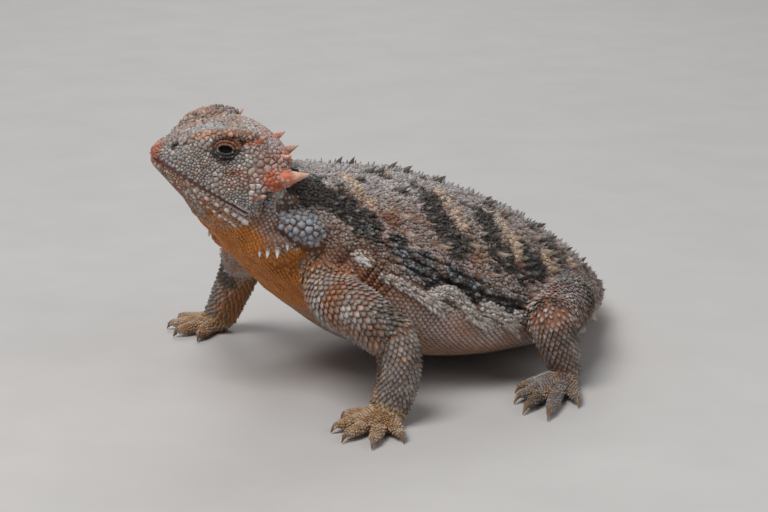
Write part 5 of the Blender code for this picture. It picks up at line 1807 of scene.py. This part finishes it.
class LIZARD_OT_spines(bpy.types.Operator):
    """Raise the spines of the back and tail, each in its ring of smaller scales"""
    bl_idname = "lizard.spines"
    bl_label = "Spines"

    def execute(self, context):
        rng = dice(6)
        coat = Coat()
        erect, laid = cone_spine(8, 5, 0.5, 0.35), keeled_scale(1.5, 0.42, 0.55, 0.46)
        collar = keeled_scale(0.9, 0.3, 0.6)
        sites = spine_sites()
        keep, at, out, along, t, angle = rooted(BODY, sites[:, 0], sites[:, 1], 1.5)
        off_limbs = SKIN["samples"].distance(2, at) > 0.8
        at, out, along, t, angle, sites = taken(off_limbs, at, out, along, t, angle, sites[keep])
        a = folded(angle)
        low, top = body_colours(t, angle, at)
        dark = mix(paint("blotch") * 3.0, paint("grey") * 0.8, rng.random(len(at)) * 0.5)
        pale = mix(paint("cream"), paint("white"), 0.3 * rng.random(len(at)))
        tip = mix(dark, pale, smooth(50, 38, a))
        low = mix(low, paint("blotch") * 1.4, smooth(38, 50, a) * 0.8)
        wide, long = sites[:, 3], sites[:, 2]
        high = a > 44
        size = np.stack((wide * 1.5, wide * 1.7, long * 1.05), 1)
        coat.add(erect, at[high], unit(out + 0.35 * along)[high], along[high], size[high],
                 (low[high], tip[high]), spread_places(t, angle)[high], (0.3, 0.95))
        flat = np.stack((wide * 1.35, long * 0.95, long * 0.9), 1)
        coat.add(laid, at[~high], unit(out + 0.15 * along)[~high], along[~high], flat[~high],
                 (low[~high], tip[~high]), spread_places(t, angle)[~high], (0.25, 0.7))
        for k in range(5):
            turn = 2 * math.pi * (k / 5 + 0.15 * rng.random(len(at)))
            place, normal, ray = self.beside(at, out, along, turn, wide * 0.75)
            small = np.stack((wide, wide * 1.1, long), 1) * rng.uniform(0.45, 0.8, (len(at), 1))
            coat.add(erect, place[high], unit(normal + 0.45 * ray + 0.4 * along)[high], along[high],
                     small[high], (low[high], tip[high]), spread_places(t, angle)[high], (0.3, 0.95))
        for k in range(8):
            turn = 2 * math.pi * k / 8 + 0.4 * rng.random(len(at))
            place, normal, ray = self.beside(at, out, along, turn, wide * 0.62)
            size = np.outer(wide, (0.72, 0.80, 0.95)) * (0.8 + 0.5 * rng.random((len(at), 1)))
            tops = mix(top, tip, 0.5 * rng.random(len(at)))
            coat.add(collar, place, unit(normal + 0.2 * ray), unit(ray + 0.5 * along), size,
                     (low, tops), spread_places(t, angle), (0.3, 0.9))
        self.add_small(coat, collar, at, rng)
        coat.build("back_spines", "spine")
        return {"FINISHED"}

    def beside(self, at, out, along, turn, reach):
        """Places on the skin beside each root, with its normal and the way there."""
        ray = np.cross(along, out) * np.cos(turn)[:, None] + along * np.sin(turn)[:, None]
        place, normal, _ = settled(at + ray * reach[:, None], 1.0)
        return place, normal, ray

    def add_small(self, coat, form, large, rng):
        """Smaller pointed scales between the rows of spines."""
        t, angle = rng.uniform(1.3, 9.0, 9000), rng.uniform(3, 177, 9000)
        _, at, *rest = rooted(BODY, t, angle, 1.5)
        chosen = scattered(at, 1.15 - 0.35 * smooth(20, 34, at[:, 1]), rng)
        apart = np.array([np.linalg.norm(large - at[i], axis=1).min() > 1.0 for i in chosen])
        at, *rest = taken(chosen[apart], at, *rest)
        at, out, along, t, angle = taken(SKIN["samples"].distance(2, at) > 0.5, at, *rest)
        low, top = body_colours(t, angle, at)
        top = mix(top, paint("white"), 0.45 * rng.random(len(at)))
        big = 0.55 + 0.55 * rng.random((len(at), 1)) ** 2 + 0.3 * smooth(20, 34, at[:, 1:2])
        coat.add(form, at, out, along, big * np.array((0.85, 1.0, 1.2)), varied((low, top), rng),
                 spread_places(t, angle), (0.3, 0.9))


class LIZARD_OT_fringe(bpy.types.Operator):
    """Set the wavy ropes of pale pointed scales along each flank"""
    bl_idname = "lizard.fringe"
    bl_label = "Side fringe"

    def execute(self, context):
        rng = dice(7)
        coat = Coat()
        form = keeled_scale(1.05, 0.30, 0.25, 0.50)
        # shift in degrees, width, length, tilt away from the skin
        rows = ((2.0, 0.46, 0.62, 0.25), (0.7, 0.52, 0.66, 0.15), (-0.7, 0.52, 0.70, 0.2),
                (-2.1, 0.66, 1.00, 0.5))
        for base, sign in ((0.0, 1), (180.0, -1)):
            for wave in FRINGE_WAVES:
                last = len(wave) - 1
                for row, (shift, wide, long, tilt) in enumerate(rows):
                    count = int(sizes().fringe_count * (2.6 - 0.3 * row))
                    f = (np.arange(count) + 0.5 * (row % 2) + 0.3 * rng.random(count)) / count
                    t, a = rows_at(wave, f * last).T
                    t2, a2 = rows_at(wave, f * last - 0.1).T
                    a, a2 = base + sign * (a + shift), base + sign * (a2 + shift)
                    run = unit(BODY.at(t, a) - BODY.at(t2, a2))
                    keep, at, out, _, t, angle = rooted(BODY, t, a, 1.9)
                    f, run = f[keep], run[keep]
                    grow = (0.75 + 0.75 * smooth(0.45, 1.0, f)) * (0.9 + 0.25 * rng.random(len(f)))
                    size = np.outer(grow, (wide, long, 0.8))
                    lean = (tilt * (0.5 + 0.8 * f))[:, None]
                    top = mix(paint("white"), paint("tan"), 0.2 + 0.4 * rng.random(len(f))) * 0.9
                    coat.add(form, at, unit(out - lean * run), unit(run + lean * out), size,
                             varied((top * 0.35, top), rng, 0.12), spread_places(t, angle), (0.1, 0.6))
        coat.build("side_fringe", "spine")
        return {"FINISHED"}


class LIZARD_OT_neck(bpy.types.Operator):
    """Fold the pad of pale scales and the pointed scales at each side of the neck"""
    bl_idname = "lizard.neck"
    bl_label = "Neck scales"

    def execute(self, context):
        rng = dice(8)
        samples = SKIN["samples"]
        at, out, near = strewn((0,), 60000, rng, lambda near: samples.t[near] < 1.7)
        t, angle = samples.t[near], samples.angle[near]
        pad = np.hypot((t - 1.17) / 0.29, (folded(angle) + 7) / 10)
        at, out, t, angle, gaps = taken(pad < 1, at, out, t, angle, 1.05 - 0.5 * pad)
        at, out, t, angle, gaps = taken(scattered(at, gaps, rng), at, out, t, angle, gaps)
        top = mix(paint("blue"), paint("tan"), 0.5 * rng.random(len(at))) * 0.85
        low = mix(paint("tan") * 0.3, paint("blotch"), 0.5 * rng.random(len(at)))
        fitted_plates("neck_pad_scales", at, out, gaps, (low, top), spread_places(t, angle),
                      0.34, "shields")
        coat = Coat()
        spike = keeled_scale(1.3, 0.4, 0.3, 0.55)
        for base, sign in ((0, 1), (180, -1)):
            t = np.array((1.09, 1.13, 1.17, 1.21))
            angle = base + sign * np.array((-50.0, -43.0, -35.0, -28.0))
            keep, at, out, along, t, angle = rooted(BODY, t, angle, 2.0)
            down = unit(0.45 * out + (0, -0.25, -0.95))
            size = np.outer(np.array((0.7, 1.0, 1.1, 0.8))[keep], (0.75, 0.75, 1.15))
            coat.add(cone_spine(8, 6, 0.15, 0.3), at, down, along, size,
                     (paint("tan") * 0.7, paint("white")), spread_places(t, angle), (0.1, 0.5))
            t, angle = np.array((2.05, 2.12, 2.0)), base + sign * np.array((-5.0, -7.5, -8.0))
            _, at, out, along, t, angle = rooted(BODY, t, angle, 2.0)
            coat.add(spike, at, out, along, np.full((len(at), 3), 0.95),
                     (paint("white") * 0.6, paint("white")), spread_places(t, angle), (0.05, 0.4))
        coat.build("throat_points", "keeled")
        return {"FINISHED"}


class LIZARD_OT_claws(bpy.types.Operator):
    """Tip each toe with a curved claw"""
    bl_idname = "lizard.claws"
    bl_label = "Claws"

    def execute(self, context):
        pieces = []
        for limb in LIMBS:
            for tube in TOES[limb]:
                root = tube.rows[int(3.6 / Tube.STEP)][:3]
                tip = tube.rows[-1][:3]
                axis = unit(tip - root)
                side = unit(np.cross(axis, (0, 0, 1.0)))
                up = np.cross(side, axis)

                def place(angle, share, root=root, tip=tip, side=side, up=up):
                    mid = root + (tip - root) * share[:, None]
                    mid[:, 2] += 0.30 * np.sin(math.pi * share)
                    r = 0.44 * (1 - share) ** 0.7 + 0.05
                    a = np.radians(angle)
                    return mid + r[:, None] * (0.75 * side * np.cos(a)[:, None] + up * np.sin(a)[:, None])
                pieces.append(rolled(12, 12, place))
        points, tris = arrays(joined(pieces))
        points[:, 2] = np.maximum(points[:, 2], 0.01)
        tone = np.array((0.20, 0.12, 0.07)) * (0.7 + 0.6 * noise(points, 0.5, 61))[:, None]
        new_piece("claws", points, tris, tone, "claw")
        return {"FINISHED"}


class LIZARD_OT_stage(bpy.types.Operator):
    """Lay the floor, hang soft lights and set the camera"""
    bl_idname = "lizard.stage"
    bl_label = "Stage"

    def execute(self, context):
        scene = context.scene
        bm = bmesh.new()
        bmesh.ops.create_grid(bm, x_segments=2, y_segments=2, size=2.0)
        mesh = bpy.data.meshes.new("floor")
        bm.to_mesh(mesh)
        bm.free()
        mesh.materials.append(finish_of("floor_surface", 0.85, 0.05, 160, 0.03, flat=paint("floor")))
        floor = bpy.data.objects.new("floor", mesh)
        scene.collection.objects.link(floor)
        for name, at, size, power in (
                ("key", (0.10, -0.30, 0.52), 0.30, 2.5), ("fill", (0.55, 0.18, 0.36), 0.40, 0.7),
                ("rim", (-0.42, 0.25, 0.40), 0.30, 1.1)):
            lamp = bpy.data.lights.new(name, "AREA")
            lamp.size = size
            lamp.energy = power
            held = bpy.data.objects.new(name, lamp)
            held.location = at
            held.rotation_euler = (Vector((0, 0, 0.015)) - Vector(at)).to_track_quat("-Z", "Y").to_euler()
            scene.collection.objects.link(held)
        world = bpy.data.worlds.new("soft_room")
        world.use_nodes = True
        world.node_tree.nodes["Background"].inputs["Color"].default_value = (0.9, 0.93, 1.0, 1.0)
        world.node_tree.nodes["Background"].inputs["Strength"].default_value = 0.20
        scene.world = world
        camera = bpy.data.objects.new("camera", bpy.data.cameras.new("camera"))
        camera.location = (0.233142, -0.175599, 0.087047)
        camera.rotation_euler = (math.radians(76.0), 0.0, math.radians(54.0))
        camera.data.lens = 99.98
        camera.data.sensor_width = 36.0
        camera.data.clip_start = 0.01
        scene.collection.objects.link(camera)
        scene.camera = camera
        scene.view_settings.view_transform = "Standard"
        return {"FINISHED"}


ORDER = (LIZARD_OT_stage, LIZARD_OT_skin, LIZARD_OT_eyes, LIZARD_OT_lids, LIZARD_OT_horns,
         LIZARD_OT_head_plates, LIZARD_OT_lips, LIZARD_OT_back_scales, LIZARD_OT_belly_scales,
         LIZARD_OT_limb_scales, LIZARD_OT_tail_scales, LIZARD_OT_spines, LIZARD_OT_fringe,
         LIZARD_OT_neck, LIZARD_OT_claws)


class LIZARD_PT_panel(bpy.types.Panel):
    """The lizard's pieces, sizes and colours"""
    bl_idname = "LIZARD_PT_panel"
    bl_label = "Short-horned lizard"
    bl_space_type = "VIEW_3D"
    bl_region_type = "UI"
    bl_category = "Lizard"

    def draw(self, context):
        column = self.layout.column()
        for group in (context.scene.lizard_sizes, context.scene.lizard_colours):
            for key in group.__annotations__:
                column.prop(group, key)
        for step in ORDER:
            column.operator(step.bl_idname)


CLASSES = (LizardSizes, LizardColours, *ORDER, LIZARD_PT_panel)


def register():
    """Register the classes and attach the settings to the scene."""
    for cls in CLASSES:
        bpy.utils.register_class(cls)
    bpy.types.Scene.lizard_sizes = PointerProperty(type=LizardSizes)
    bpy.types.Scene.lizard_colours = PointerProperty(type=LizardColours)


def unregister():
    """Take the settings and classes away again."""
    del bpy.types.Scene.lizard_colours
    del bpy.types.Scene.lizard_sizes
    for cls in reversed(CLASSES):
        bpy.utils.unregister_class(cls)


def main():
    """Register the classes and make every piece in order."""
    register()
    for step in ORDER:
        group, call = step.bl_idname.split(".")
        getattr(getattr(bpy.ops, group), call)()


if __name__ == "__main__":
    main()
